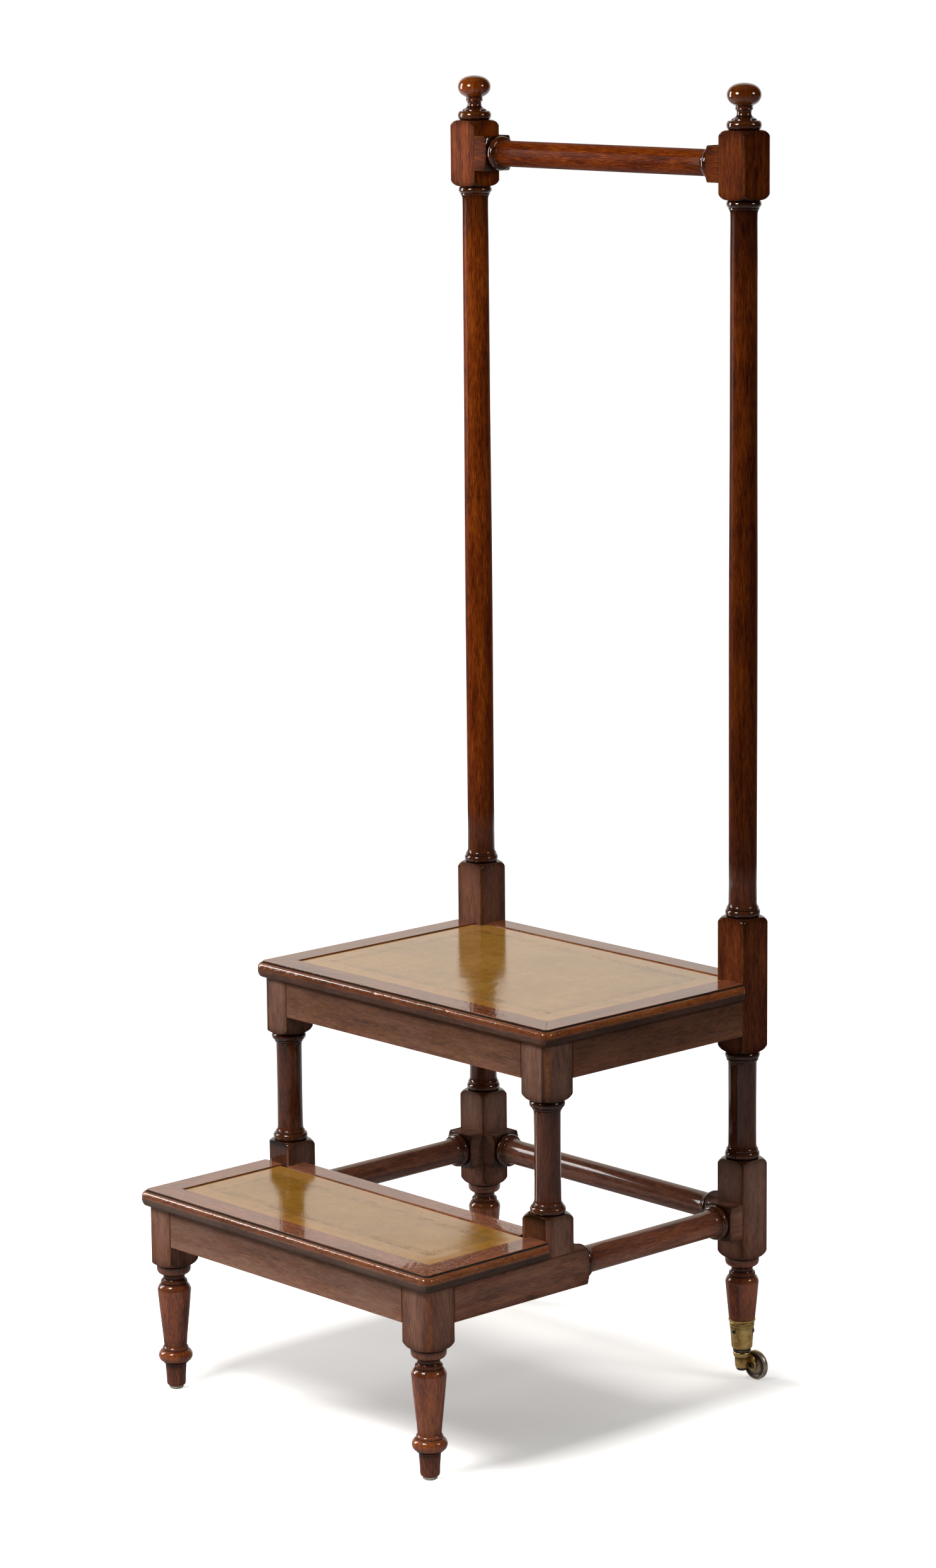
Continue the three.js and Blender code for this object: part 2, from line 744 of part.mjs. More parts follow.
// A dished wheel with a raised rim and hub on both faces
function wheel() {
  const half = wheel_width / 2;
  const web = wheel_web_width / 2;
  const rim = wheel_radius - wheel_rim_depth;
  const flank = wheel_radius - fillet_proud;
  const profile = [
    [wheel_hub_radius, -half], [wheel_hub_radius + fillet_proud, -web], [rim, -web], [rim, -half],
    [flank, -half], [wheel_radius, -web], [wheel_radius, web], [flank, half],
    [rim, half], [rim, web], [wheel_hub_radius + fillet_proud, web], [wheel_hub_radius, half],
  ];
  const bore = pin(axle_radius + fit_gap, -half - overrun, half + overrun, 'y');
  return cut(turned(profile, wheel_sides, 'y'), bore);
}

// The axle is a rivet through the wheel and the arm
function axle() {
  const outer = wheel_width / 2 + fit_gap;
  const inner = -wheel_width / 2 - wheel_side_gap - horn_arm_thickness - fit_gap;
  return turned([
    [axle_head_radius / 2, inner - axle_head_height],
    [axle_head_radius, inner],
    [axle_radius, inner],
    [axle_radius, outer],
    [axle_head_radius, outer],
    [axle_head_radius / 2, outer + axle_head_height],
  ], pin_sides, 'y');
}

function place(mesh, x, y, z, turn = 0, parent = steps) {
  mesh.position.set(x, y, z);
  mesh.rotation.z = turn;
  parent.add(mesh);
}

// Posts, legs, side rails and side aprons, left and right
for (const [hand, side] of Object.entries(sides)) {
  const x = side * half_spacing;
  place(named_mesh(`rear_post_${hand}`, rear_post(side), wood), x, rear_y, 0);
  place(named_mesh(`mid_post_${hand}`, mid_post(side), wood), x, mid_y, 0);
  place(named_mesh(`front_leg_${hand}`, front_leg(side), wood), x, front_y, 0);
  place(named_mesh(`front_glide_${hand}`, glide(), nickel), x, front_y, 0);
  place(named_mesh(`side_rail_${hand}`, side_rail(side), wood), x, 0, stretcher_height);
  const outer_x = x + side * (block_half - apron_thickness / 2);
  const apron_z = upper_apron_bottom + apron_height / 2;
  const board = named_mesh(`upper_apron_${hand}`, apron(upper_depth - block_side), wood);
  place(board, outer_x, (rear_y + mid_y) / 2, apron_z, Math.PI / 2);
}

// Rails across, and the aprons across under both treads
place(named_mesh('top_rail', cross_rail(), wood), 0, rear_y, top_rail_height);
place(named_mesh('rear_stretcher', cross_rail(), wood), 0, rear_y, stretcher_height);

const treads = [
  { name: 'upper', y: mid_y, depth: upper_depth, top: upper_tread_top, inner: upper_back_inner,
    outer: upper_back_outer },
  { name: 'lower', y: front_y, depth: lower_depth, top: lower_tread_top, inner: lower_back_inner,
    outer: lower_back_outer },
];
for (const { name, y, depth, top, inner, outer } of treads) {
  const apron_z = top - tread_thickness - fit_gap - apron_height / 2;
  const front_board = y - block_half + apron_thickness / 2;
  const back_board = y + depth + outer - back_apron_inset - apron_thickness / 2;
  const length = post_spacing - block_side;
  place(named_mesh(`${name}_apron_front`, apron(length), wood), 0, front_board, apron_z);
  place(named_mesh(`${name}_apron_back`, apron(length), wood), 0, back_board, apron_z);

  const glue_z = top - tread_thickness - fit_gap - glue_block_side / 2;
  const glue_gap = apron_thickness / 2 + fit_gap + glue_block_side / 2;
  for (const [hand, side] of Object.entries(sides)) {
    const glue_x = side * (half_spacing - glue_block_offset);
    const names = [`${name}_glue_block_front_${hand}`, `${name}_glue_block_back_${hand}`];
    place(named_mesh(names[0], glue_block(), wood), glue_x, front_board + glue_gap, glue_z);
    place(named_mesh(names[1], glue_block(), wood), glue_x, back_board - glue_gap, glue_z);
  }

  const whole = new THREE.Group();
  for (const [piece, [solid, stuff]] of Object.entries(tread(depth, inner, outer))) {
    place(named_mesh(`${name}_${piece}`, solid, stuff), 0, 0, 0, 0, whole);
  }
  place(whole, 0, y, top);
}

// Castors under the rear posts, both trailing the same way
for (const [hand, side] of Object.entries(sides)) {
  const castor = new THREE.Group();
  place(named_mesh(`castor_cup_${hand}`, cup(), brass), 0, 0, 0, 0, castor);
  screw_places().forEach(([x, y, angle], i) => {
    place(named_mesh(`castor_screw_${hand}_${i + 1}`, cup_screw(x, y, angle, 0), steel), 0, 0, 0, 0, castor);
  });
  place(named_mesh(`castor_washer_${hand}`, swivel_washer(), steel), 0, 0, 0, 0, castor);
  place(named_mesh(`castor_pin_${hand}`, swivel_pin(), steel), 0, 0, 0, 0, castor);
  place(named_mesh(`castor_horn_${hand}`, horn(), brass), 0, 0, 0, 0, castor);
  place(named_mesh(`castor_axle_${hand}`, axle(), steel), ...axle_place, 0, castor);
  place(named_mesh(`castor_wheel_${hand}`, wheel(), brass), ...axle_place, 0, castor);
  place(castor, side * half_spacing, rear_y, 0);
}

export default steps;
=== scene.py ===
import random
from math import atan2, copysign, cos, degrees, exp, hypot, pi, radians, sin, sqrt

import bmesh
import bpy
from mathutils import Matrix, Vector, noise

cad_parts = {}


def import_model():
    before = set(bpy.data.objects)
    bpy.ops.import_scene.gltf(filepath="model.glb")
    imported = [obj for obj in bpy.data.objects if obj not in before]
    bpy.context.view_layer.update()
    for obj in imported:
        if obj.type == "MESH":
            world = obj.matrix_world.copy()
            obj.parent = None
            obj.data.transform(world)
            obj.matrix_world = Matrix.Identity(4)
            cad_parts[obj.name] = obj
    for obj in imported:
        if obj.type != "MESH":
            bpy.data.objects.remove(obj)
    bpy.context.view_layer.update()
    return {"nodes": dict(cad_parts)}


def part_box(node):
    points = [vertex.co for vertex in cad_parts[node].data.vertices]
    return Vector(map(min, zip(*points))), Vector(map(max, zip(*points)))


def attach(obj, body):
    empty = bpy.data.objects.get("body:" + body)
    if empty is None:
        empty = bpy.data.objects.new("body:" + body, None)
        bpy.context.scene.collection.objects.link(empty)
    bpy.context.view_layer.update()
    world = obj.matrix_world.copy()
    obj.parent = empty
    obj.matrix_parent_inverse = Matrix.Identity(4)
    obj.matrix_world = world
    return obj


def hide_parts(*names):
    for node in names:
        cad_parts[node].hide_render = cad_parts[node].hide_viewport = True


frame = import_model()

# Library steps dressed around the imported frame. Lengths are in millimetres until a mesh is made.
MM = 0.001
SHAKE = random.Random(7)


def centre(node):
    low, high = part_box(node)
    return [(a + b) / 2 / MM for a, b in zip(low, high)]


REAR_Y = centre("rear_post_left")[1]
MID_Y = centre("mid_post_left")[1]
FRONT_Y = centre("front_leg_left")[1]
HALF = -centre("rear_post_left")[0]
RAIL_Z = centre("rear_stretcher")[2]
TOP_RAIL_Z = centre("top_rail")[2]
LOWER_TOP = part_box("lower_border_front")[1][2] / MM
UPPER_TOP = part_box("upper_border_front")[1][2] / MM
HANDS = {"left": -1, "right": 1}
BODY = "steps"

# Sizes that several pieces share
TREAD = 19.5
BLOCK = 20.25
ARRIS = 0.9
FRONT_CORNER = 8.6
GAP = 0.3
LEG_TOP = 149
PAST_CORNER = 29.6
SPAN = HALF - BLOCK - GAP


# The camera, fitted to the photograph: metres and degrees
LENS = 104.04
EYE = (3.6990, -3.6271 + REAR_Y * MM, 1.6629)
AZIMUTH = 47.36
TILT = 10.82
ROLL = -0.56


def camera():
    data = bpy.data.cameras.new("camera")
    data.sensor_fit = "VERTICAL"
    data.sensor_height = 36
    data.lens = LENS
    data.clip_end = 60
    item = bpy.data.objects.new("camera", data)
    bpy.context.scene.collection.objects.link(item)
    azimuth, height, roll = (radians(a) for a in (AZIMUTH, TILT, ROLL))
    back = Vector((sin(azimuth) * cos(height), -cos(azimuth) * cos(height), sin(height)))
    right = Vector((cos(azimuth), sin(azimuth), 0))
    up = back.cross(right)
    side = right * cos(roll) + up * sin(roll)
    top = up * cos(roll) - right * sin(roll)
    rows = [(side[k], top[k], back[k], EYE[k]) for k in range(3)]
    item.matrix_world = Matrix((*rows, (0, 0, 0, 1)))
    bpy.context.scene.camera = item


camera()


# Node material helpers
class Nodes:
    def __init__(self, tree):
        self.tree = tree
        tree.nodes.clear()

    def add(self, kind, values=None, **settings):
        node = self.tree.nodes.new(kind)
        for key, value in settings.items():
            setattr(node, key, value)
        for key, value in (values or {}).items():
            socket = node.inputs[key]
            if isinstance(value, bpy.types.NodeSocket):
                self.tree.links.new(value, socket)
            else:
                socket.default_value = value
        return node

    def math(self, operation, a, b=0.0, clamp=False):
        return self.add("ShaderNodeMath", {0: a, 1: b}, operation=operation, use_clamp=clamp).outputs[0]

    def vector(self, operation, a, b=(0, 0, 0), result="Vector"):
        return self.add("ShaderNodeVectorMath", {0: a, 1: b}, operation=operation).outputs[result]

    def noise(self, vector, scale=1.0, detail=2.0, rough=0.5):
        return self.add("ShaderNodeTexNoise", {"Vector": vector, "Scale": scale, "Detail": detail,
                                               "Roughness": rough}).outputs[0]

    def stretched(self, vector, factors, detail=2.0, rough=0.5):
        """Noise that is stretched along the first axis by unequal scales."""
        return self.noise(self.vector("MULTIPLY", vector, factors), 1.0, detail, rough)

    def place(self):
        return self.add("ShaderNodeTexCoord").outputs["Object"]

    def attribute(self, name, result="Fac"):
        return self.add("ShaderNodeAttribute", attribute_name=name).outputs[result]

    def split(self, colour):
        return self.add("ShaderNodeSeparateColor", {0: colour}).outputs

    def product(self, *values):
        total = values[0]
        for value in values[1:]:
            total = self.math("MULTIPLY", total, value)
        return total

    def blend(self, *parts):
        """The sum of values that are each given with a weight."""
        total = self.math("MULTIPLY", *parts[0])
        for value, weight in parts[1:]:
            total = self.math("ADD", total, self.math("MULTIPLY", value, weight))
        return total

    def off(self, value, middle):
        """How far a value is from a middle one."""
        return self.math("ABSOLUTE", self.math("SUBTRACT", value, middle))

    def ramp(self, value, stops):
        node = self.add("ShaderNodeValToRGB", {0: value})
        points = node.color_ramp.elements
        while len(points) < len(stops):
            points.new(0.5)
        for point, (place, colour) in zip(points, stops):
            point.position = place
            point.color = (*colour, 1)
        return node.outputs[0]

    def mix(self, factor, a, b, blend="MIX"):
        node = self.add("ShaderNodeMix", {0: factor, 6: a, 7: b}, data_type="RGBA", blend_type=blend)
        return node.outputs[2]

    def range(self, value, low, high, to_low, to_high):
        return self.add("ShaderNodeMapRange", {0: value, 1: low, 2: high, 3: to_low, 4: to_high}).outputs[0]


def material(name):
    made = bpy.data.materials.new(name)
    made.use_nodes = True
    return made, Nodes(made.node_tree)


def finish_material(nodes, shader_values, height, depth, coat_height=None):
    """Joins the shader to its bump, with another for the coat of polish."""
    bump = nodes.add("ShaderNodeBump", {"Strength": 0.6, "Distance": depth, "Height": height})
    values = {**shader_values, "Normal": bump.outputs[0]}
    if coat_height is not None:
        skin_bump = nodes.add("ShaderNodeBump", {"Strength": 0.6, "Distance": depth, "Height": coat_height})
        values["Coat Normal"] = skin_bump.outputs[0]
    shader = nodes.add("ShaderNodeBsdfPrincipled", values)
    nodes.add("ShaderNodeOutputMaterial", {0: shader.outputs[0]})


def grey(value):
    return (value, value, value, 1)


# Polished mahogany: ribbon stripe, fine streaks and pores along the grain, and old polish in the hollows.
# The colours are those of pores, rubbed edges, dull haze that is partly a painted sheen, and dirt that is
# partly painted shade.
PORE = (0.014, 0.0034, 0.0014, 1)
RUBBED = (0.27, 0.094, 0.016, 1)
HAZE_AND_SHEEN = (0.262, 0.194, 0.154, 1)
DIRT_AND_SHADE_COLOUR = (0.0055, 0.0026, 0.0016, 1)


def mahogany(name, dressed=True):
    """The wood of pieces that carry their wear, or else of the hidden solids inside."""
    made, n = material(name)
    if dressed:
        grain = n.attribute("grain", "Vector")
        rub, dirt_and_shade, tone = n.split(n.attribute("wear", "Color"))
        bloom_and_sheen = n.attribute("wear", "Alpha")
        gloss = n.attribute("gloss")
    else:
        grain = n.place()
        rub, dirt_and_shade, tone, bloom_and_sheen, gloss = 0.0, 0.3, 0.3, 0.2, 0.0
    bend = n.stretched(grain, (2.2, 7, 7), 1.0)
    bend = n.vector("MULTIPLY", n.add("ShaderNodeCombineXYZ", {1: bend, 2: bend}).outputs[0], (0, 0.03, 0.03))
    bent = n.vector("ADD", grain, bend)
    ribbon = n.stretched(bent, (4, 75, 75))
    band = n.stretched(bent, (14, 260, 260))
    streak = n.stretched(bent, (80, 1050, 1050), 3.0, 0.65)
    patch = n.stretched(bent, (14, 64, 64), 3.0, 0.6)
    fleck = n.stretched(bent, (60, 1500, 1500), 2.0, 0.6)
    tint = n.blend((ribbon, 0.14), (streak, 0.60), (band, 0.17), (patch, 0.34))
    tint = n.math("SUBTRACT", tint, 0.130)
    colour = n.ramp(tint, [
        (0.37, (0.030, 0.0042, 0.0006)), (0.445, (0.086, 0.0130, 0.0010)),
        (0.53, (0.150, 0.0255, 0.0016)), (0.62, (0.230, 0.0520, 0.0034))])
    pore_mask = n.range(fleck, 0.585, 0.69, 0.0, 0.55)
    colour = n.mix(pore_mask, colour, PORE)
    colour = n.mix(1.0, colour, n.range(tone, 0.0, 1.5, 0.35, 2.45), "MULTIPLY")
    mottle = n.stretched(grain, (190, 330, 330), 3.0, 0.6)
    kept = n.range(n.stretched(grain, (16, 40, 40), 3.0, 0.6), 0.40, 0.58, 0.35, 1.0)
    worn = n.product(rub, n.range(mottle, 0.36, 0.62, 0.25, 0.85), kept)
    colour = n.mix(worn, colour, RUBBED)
    unrubbed = n.math("SUBTRACT", 1.0, n.product(rub, 0.8))
    # The dull haze is partly polish bloom and partly a painted sheen, a painted reflection of the floor and
    # of the lamps; rubbed and glossy parts get less of it
    streaky = n.range(n.math("ADD", streak, patch), 0.80, 1.20, 0.26, 0.48)
    dull = n.product(bloom_and_sheen, unrubbed, n.range(gloss, 0.0, 1.0, 1.0, 0.35), streaky)
    colour = n.mix(dull, colour, HAZE_AND_SHEEN)
    # Dirt in the hollows darkens the wood, and so does the painted shade carried with it under the nosings,
    # under the treads and on the rounded front corners
    colour = n.mix(n.product(dirt_and_shade, 0.85), colour, DIRT_AND_SHADE_COLOUR)
    clouds = n.stretched(grain, (30, 60, 60), 3.0)
    rough = n.math("ADD", n.range(clouds, 0.3, 0.7, 0.30, 0.46), n.product(dirt_and_shade, 0.3), clamp=True)
    dent = n.stretched(grain, (45, 110, 110))
    height = n.blend((streak, 0.25), (dent, 0.5))
    height = n.math("SUBTRACT", height, n.product(pore_mask, 0.5))
    # Rubbed edges are pitted and wavy, which breaks up their highlights
    pits = n.range(n.stretched(grain, (260, 380, 380), 2.0, 0.6), 0.54, 0.66, 0.0, 1.7)
    waves = n.stretched(grain, (26, 60, 60))
    scars = n.math("SUBTRACT", n.product(waves, 0.5), n.product(pits, rub))
    polish = n.math("ADD", n.product(height, 0.10), scars)
    # Dirt and painted shade dull the satin faces, while the beads stay polished over them
    caked_and_painted_dark = n.product(dirt_and_shade, n.range(gloss, 0.0, 1.0, 0.9, 0.2))
    dry = n.math("SUBTRACT", 1.0, caked_and_painted_dark, clamp=True)
    finish_material(n, {"Base Color": colour, "Roughness": rough, "IOR": 1.5, "Specular IOR Level": 0.0,
                        "Coat Weight": n.product(dry, n.range(gloss, 0.0, 1.0, 0.12, 0.95)),
                        "Coat Roughness": n.range(gloss, 0.0, 1.0, 0.28, 0.035),
                        "Coat IOR": 1.62}, height, 0.00012, polish)
    return made


# Worn olive leather with gilt lines at its edge and a tooled band inside them. The attribute named edge
# holds the distance from the edge and the way along it. The sizes are metres.
SPECK = (0.13, 0.062, 0.012, 1)
OUTER_TAN = (0.44, 0.205, 0.048, 1)
GILT = (0.50, 0.20, 0.018, 1)
TOOLED = (0.100, 0.046, 0.012, 1)
GILT_LINES = (1.5 * MM, 8.0 * MM)
BAND_LINES = ((25.5 * MM, 0.7 * MM), (34.5 * MM, 0.6 * MM))
BAND_MIDDLE = 30 * MM
SCROLL_PITCH = 11.5 * MM
SCROLL_SWING = 2.2 * MM


def tread_leather(name):
    made, n = material(name)
    place = n.place()
    edge, run = n.split(n.attribute("edge", "Color"))[:2]
    broad = n.noise(place, 9, 3.0, 0.55)
    mottle = n.noise(place, 70, 4.0, 0.6)
    cells = {"Vector": place, "Scale": 900.0}
    grain = n.add("ShaderNodeTexVoronoi", cells, feature="DISTANCE_TO_EDGE").outputs[0]
    speck = n.noise(place, 420)
    colour = n.ramp(n.blend((broad, 0.55), (mottle, 0.45)), [
        (0.36, (0.285, 0.128, 0.015)), (0.50, (0.345, 0.166, 0.024)), (0.64, (0.405, 0.204, 0.038))])
    colour = n.mix(n.range(speck, 0.56, 0.68, 0.0, 0.45), colour, SPECK)
    outer = n.range(edge, 23.5 * MM, 26.5 * MM, 1.0, 0.0)
    colour = n.mix(n.product(outer, n.range(mottle, 0.35, 0.62, 0.15, 0.55)), colour, OUTER_TAN)
    for line in GILT_LINES:
        gilt = n.range(n.off(edge, line), 0.7 * MM, 1.6 * MM, 0.65, 0.0)
        colour = n.mix(n.product(gilt, n.range(mottle, 0.35, 0.55, 0.3, 1.0)), colour, GILT)
    # The tooled band: two fine lines and a running scroll between them, mostly rubbed away
    wave = n.math("SINE", n.product(run, 2 * pi / SCROLL_PITCH))
    lines = [n.range(n.off(edge, line), half, half * 2.2, 1.0, 0.0) for line, half in BAND_LINES]
    for swing in (SCROLL_SWING, -SCROLL_SWING):
        middle = n.math("ADD", n.product(wave, swing), BAND_MIDDLE)
        lines.append(n.range(n.off(edge, middle), 0.6 * MM, 1.2 * MM, 0.9, 0.0))
    tooled = lines[0]
    for line in lines[1:]:
        tooled = n.math("MAXIMUM", tooled, line)
    rubbed = n.range(n.noise(place, 60, 4.0, 0.7), 0.42, 0.60, 0.08, 0.55)
    tooled = n.product(tooled, rubbed)
    colour = n.mix(tooled, colour, TOOLED)
    rough = n.range(mottle, 0.3, 0.7, 0.06, 0.12)
    rough = n.math("ADD", rough, n.product(tooled, 0.25))
    height = n.blend((n.range(grain, 0.0, 0.12, 0.0, 1.0), 0.10), (n.noise(place, 150, 3.0), 0.42))
    height = n.math("SUBTRACT", height, tooled)
    finish_material(n, {"Base Color": colour, "Roughness": rough, "IOR": 1.60}, height, 0.00010)
    return made


# Aged brass and dark steel, dirty in their hollows and bright on their edges
def metal(name, dark, mid, light, rough_low, rough_high):
    made, n = material(name)
    place = n.place()
    patches = n.noise(place, 120, 4.0, 0.62)
    spots = n.noise(place, 600, 3.0, 0.6)
    colour = n.ramp(n.blend((patches, 0.7), (spots, 0.3)), [(0.36, dark), (0.50, mid), (0.64, light)])
    rub, dirt_and_shade = n.split(n.attribute("wear", "Color"))[:2]
    colour = n.mix(n.product(dirt_and_shade, 0.85), colour, (*(c * 0.25 for c in dark), 1))
    colour = n.mix(n.product(rub, 0.5), colour, (*light, 1))
    rough = n.range(patches, 0.3, 0.7, rough_high, rough_low)
    finish_material(n, {"Base Color": colour, "Metallic": 1.0, "Roughness": rough}, spots, 0.00006)
    return made


WOOD = mahogany("mahogany")
WOOD_INSIDE = mahogany("mahogany_inside", dressed=False)
LEATHER = tread_leather("tread_leather")
BRASS = metal("aged_brass", (0.42, 0.235, 0.070), (0.82, 0.520, 0.175), (0.95, 0.68, 0.28), 0.24, 0.44)
BRONZE = metal("worn_wheel_brass", (0.34, 0.265, 0.190), (0.62, 0.50, 0.39), (0.80, 0.68, 0.54), 0.30, 0.50)
STEEL = metal("dark_steel", (0.045, 0.038, 0.032), (0.10, 0.085, 0.07), (0.22, 0.20, 0.17), 0.30, 0.50)
NICKEL = metal("glide_nickel", (0.50, 0.44, 0.34), (0.68, 0.62, 0.50), (0.80, 0.76, 0.66), 0.18, 0.34)


# Making pieces
def placed(name, data):
    """A new object in the scene."""
    item = bpy.data.objects.new(name, data)
    bpy.context.scene.collection.objects.link(item)
    return item


def piece(name, mesh, stuff, stands_for, body=BODY, sharp=32):
    """A shown object that rides on a body and stands for a CAD node."""
    mesh.materials.append(stuff)
    mesh.shade_smooth()
    mesh.set_sharp_from_angle(angle=radians(sharp))
    item = placed(name, mesh)
    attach(item, body)
    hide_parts(stands_for)
    return item


def mesh_from(name, points, faces):
    mesh = bpy.data.meshes.new(name)
    mesh.from_pydata([tuple(c * MM for c in p) for p in points], [], faces)
    mesh.update()
    return mesh


def set_vectors(mesh, name, values, kind="FLOAT_VECTOR"):
    layer = mesh.attributes.new(name, kind, "POINT")
    key = "vector" if kind == "FLOAT_VECTOR" else "color"
    layer.data.foreach_set(key, [c for value in values for c in value])


# An axis and the two across it
AXES = {"x": (0, 1, 2), "y": (1, 2, 0), "z": (2, 0, 1)}


def on_ring(along, place, z, radius, angle):
    """A point round an axis that runs through a place."""
    axis, u, v = AXES[along]
    point = [0.0, 0.0, 0.0]
    point[axis], point[u], point[v] = z, radius * cos(angle), radius * sin(angle)
    return [c + o for c, o in zip(point, place)]


def by_height(z, levels):
    """A value between the levels given as (height, value)."""
    for (z0, t0), (z1, t1) in zip(levels, levels[1:]):
        if z <= z1:
            return t0 + (t1 - t0) * max(z - z0, 0) / (z1 - z0)
    return levels[-1][1]


# How light and how dull the wood is by height, and what single pieces add to both. Both are partly painted
# light: lighter and duller near the floor as a painted reflection of the floor, and much darker under the
# upper tread and under the top blocks as painted shade.
TONES = (
    (0, 1.25), (115, 1.25), (125, 1.00), (152, 0.92), (262, 0.80), (285, 0.16), (385, 0.16), (400, 0.38),
    (545, 0.34), (590, 0.20), (650, 0.34), (900, 0.40), (1270, 0.44), (1335, 0.02), (1350, 0.10),
    (1358, 0.58), (1440, 0.52), (1500, 0.36),
)
BLOOMS_AND_SHEEN = (
    (0, 0.9), (120, 0.9), (152, 1.1), (190, 1.2), (262, 1.4), (280, 0.15), (385, 0.15), (400, 0.5),
    (540, 0.45), (600, 0.05), (700, 0.0),
)
# The haze added to the borders is a painted reflection on their flats and nosings, and that on the rear posts
# is a painted sheen, more on the left post, nearer the lamp at the left, and less on the right
LIFTS = {
    "rear_post_left": (0.18, 0.15),
    "rear_post_right": (-0.21, -0.35),
    "mid_post": (0.0, 0.5),
    "top_rail": (-0.10, 0.0),
    "side_rail_right": (0.24, 0.0),
    "upper_apron_front": (-0.02, 0.65),
    "upper_apron_right": (-0.02, 0.4),
    "lower_apron_front": (0.34, 0.95),
    "upper_border": (0.30, 0.8),
    "lower_border": (0.20, 1.2),
}

# Heights that part the lower posts' pads from their columns, and the steps from the tall posts above them
PADS_BELOW = 300
STEPS_BELOW = 600


def grain_of(mesh, along, wear=None):
    """Coordinates along and across the grain, each piece cut from its own place in the timber.

    The wear colour holds rubbed edges, dirt in the hollows together with painted shade, how light the wood
    is, which is partly painted light, and its dull bloom, which is partly a painted sheen.
    Each wear given is the rub, the dirt with any painted shade, and the gloss.
    """
    start = [SHAKE.uniform(0, 9) for _ in range(3)]
    lift, dull = next((v for k, v in LIFTS.items() if mesh.name.startswith(k)), (0.0, 0.0))
    lift += SHAKE.uniform(-0.04, 0.04)
    order = AXES[along]
    coords = [[v.co[k] + s for k, s in zip(order, start)] for v in mesh.vertices]
    set_vectors(mesh, "grain", coords)
    if wear is None:
        wear = [(0, 0, 0)] * len(mesh.vertices)
    mesh.attributes.new("gloss", "FLOAT", "POINT").data.foreach_set("value", [w[2] for w in wear])
    lying = along != "z"
    levels = []
    for vertex, (rub, dirt_and_shade, gloss) in zip(mesh.vertices, wear):
        z = vertex.co.z / MM
        tone = by_height(z, TONES)
        bloom_and_sheen = by_height(z, BLOOMS_AND_SHEEN)
        if lying or z > STEPS_BELOW:
            tone += lift
        if (lying or PADS_BELOW < z < STEPS_BELOW) and (gloss < 0.5 or "border" in mesh.name):
            bloom_and_sheen += dull
        levels.append((rub, dirt_and_shade, tone, max(bloom_and_sheen, 0)))
    set_vectors(mesh, "wear", levels, "FLOAT_COLOR")


def skin(rings, flags=None):
    """Points and faces of a closed body through rings that run anticlockwise about their axis."""
    count = len(rings[0])
    points = [p for ring in rings for p in ring]
    faces = []
    for k in range(len(rings) - 1):
        for i in range(count):
            j = (i + 1) % count
            a, b, c, d = k * count + i, k * count + j, (k + 1) * count + j, (k + 1) * count + i
            if flags and flags[a] == flags[c] == 2:
                faces += [(a, b, c), (a, c, d)]
            elif flags and flags[b] == flags[d] == 2:
                faces += [(a, b, d), (b, c, d)]
            else:
                faces.append((a, b, c, d))
    last = (len(rings) - 1) * count
    faces.append(tuple(range(count - 1, -1, -1)))
    faces.append(tuple(range(last, last + count)))
    return points, faces


# Turned outlines, as (place along the axis, radius)
def bead(low, high, crown, root=None, count=9):
    root = crown - 2.8 if root is None else root
    turns = [pi * i / count for i in range(count + 1)]
    middle, half = (low + high) / 2, (high - low) / 2
    return [(middle - half * cos(t), root + (crown - root) * sin(t)) for t in turns]


def shoulder(low, high, root=18.6, reach=28.9, count=10):
    """A quarter round from the turned root at low out to the full block at high, which may be lower."""
    turns = [pi / 2 * i / count for i in range(count + 1)]
    return [(low + (high - low) * (1 - cos(t)), root + (reach - root) * sin(t)) for t in turns]


def foot_of_column(z, radius, up=1, crown=20.0, length=8.6):
    """Bead, fillet and small cove between a block and a column that leaves it upwards or downwards."""
    shape = [(0.0, crown - 3.2), *bead(0.15, length, crown),
             (length + 0.1, radius + 2.0), (length + 0.5, radius + 2.3), (length + 1.9, radius + 2.2),
             (length + 2.4, radius + 1.5), (length + 3.8, radius + 0.7), (length + 6.5, radius + 0.15)]
    return [(z + up * p, r) for p, r in shape][::up]


def block(low, high, rise=10.2, ends=(True, True)):
    """A squared length with a turned shoulder at either end."""
    first = shoulder(low, low + rise) if ends[0] else [(low, PAST_CORNER)]
    last = shoulder(high, high - rise)[::-1] if ends[1] else [(high, PAST_CORNER)]
    return first + last


def leg_head(top):
    """Collar, neck and knee under a block, from the knee up."""
    return [
        (top - 31.5, 19.2), (top - 29.8, 19.35), (top - 28.0, 18.9), (top - 26.2, 18.1), (top - 24.8, 17.2),
        (top - 23.6, 16.1), (top - 22.9, 15.1), (top - 22.7, 14.4),
        *bead(top - 22.6, top - 18.4, 15.3, 14.1, 6),
        (top - 18.2, 13.6), (top - 17.4, 12.8), (top - 16.2, 12.4), (top - 14.6, 12.3), (top - 13.0, 12.5),
        (top - 11.9, 13.2), (top - 11.3, 14.3), (top - 11.2, 15.4), (top - 10.6, 16.6), (top - 9.5, 18.0),
        (top - 8.2, 18.9), (top - 6.6, 19.4), (top - 4.4, 19.6), (top - 1.0, 19.6), (top - 0.1, 19.3),
    ]


STEP = radians(6)


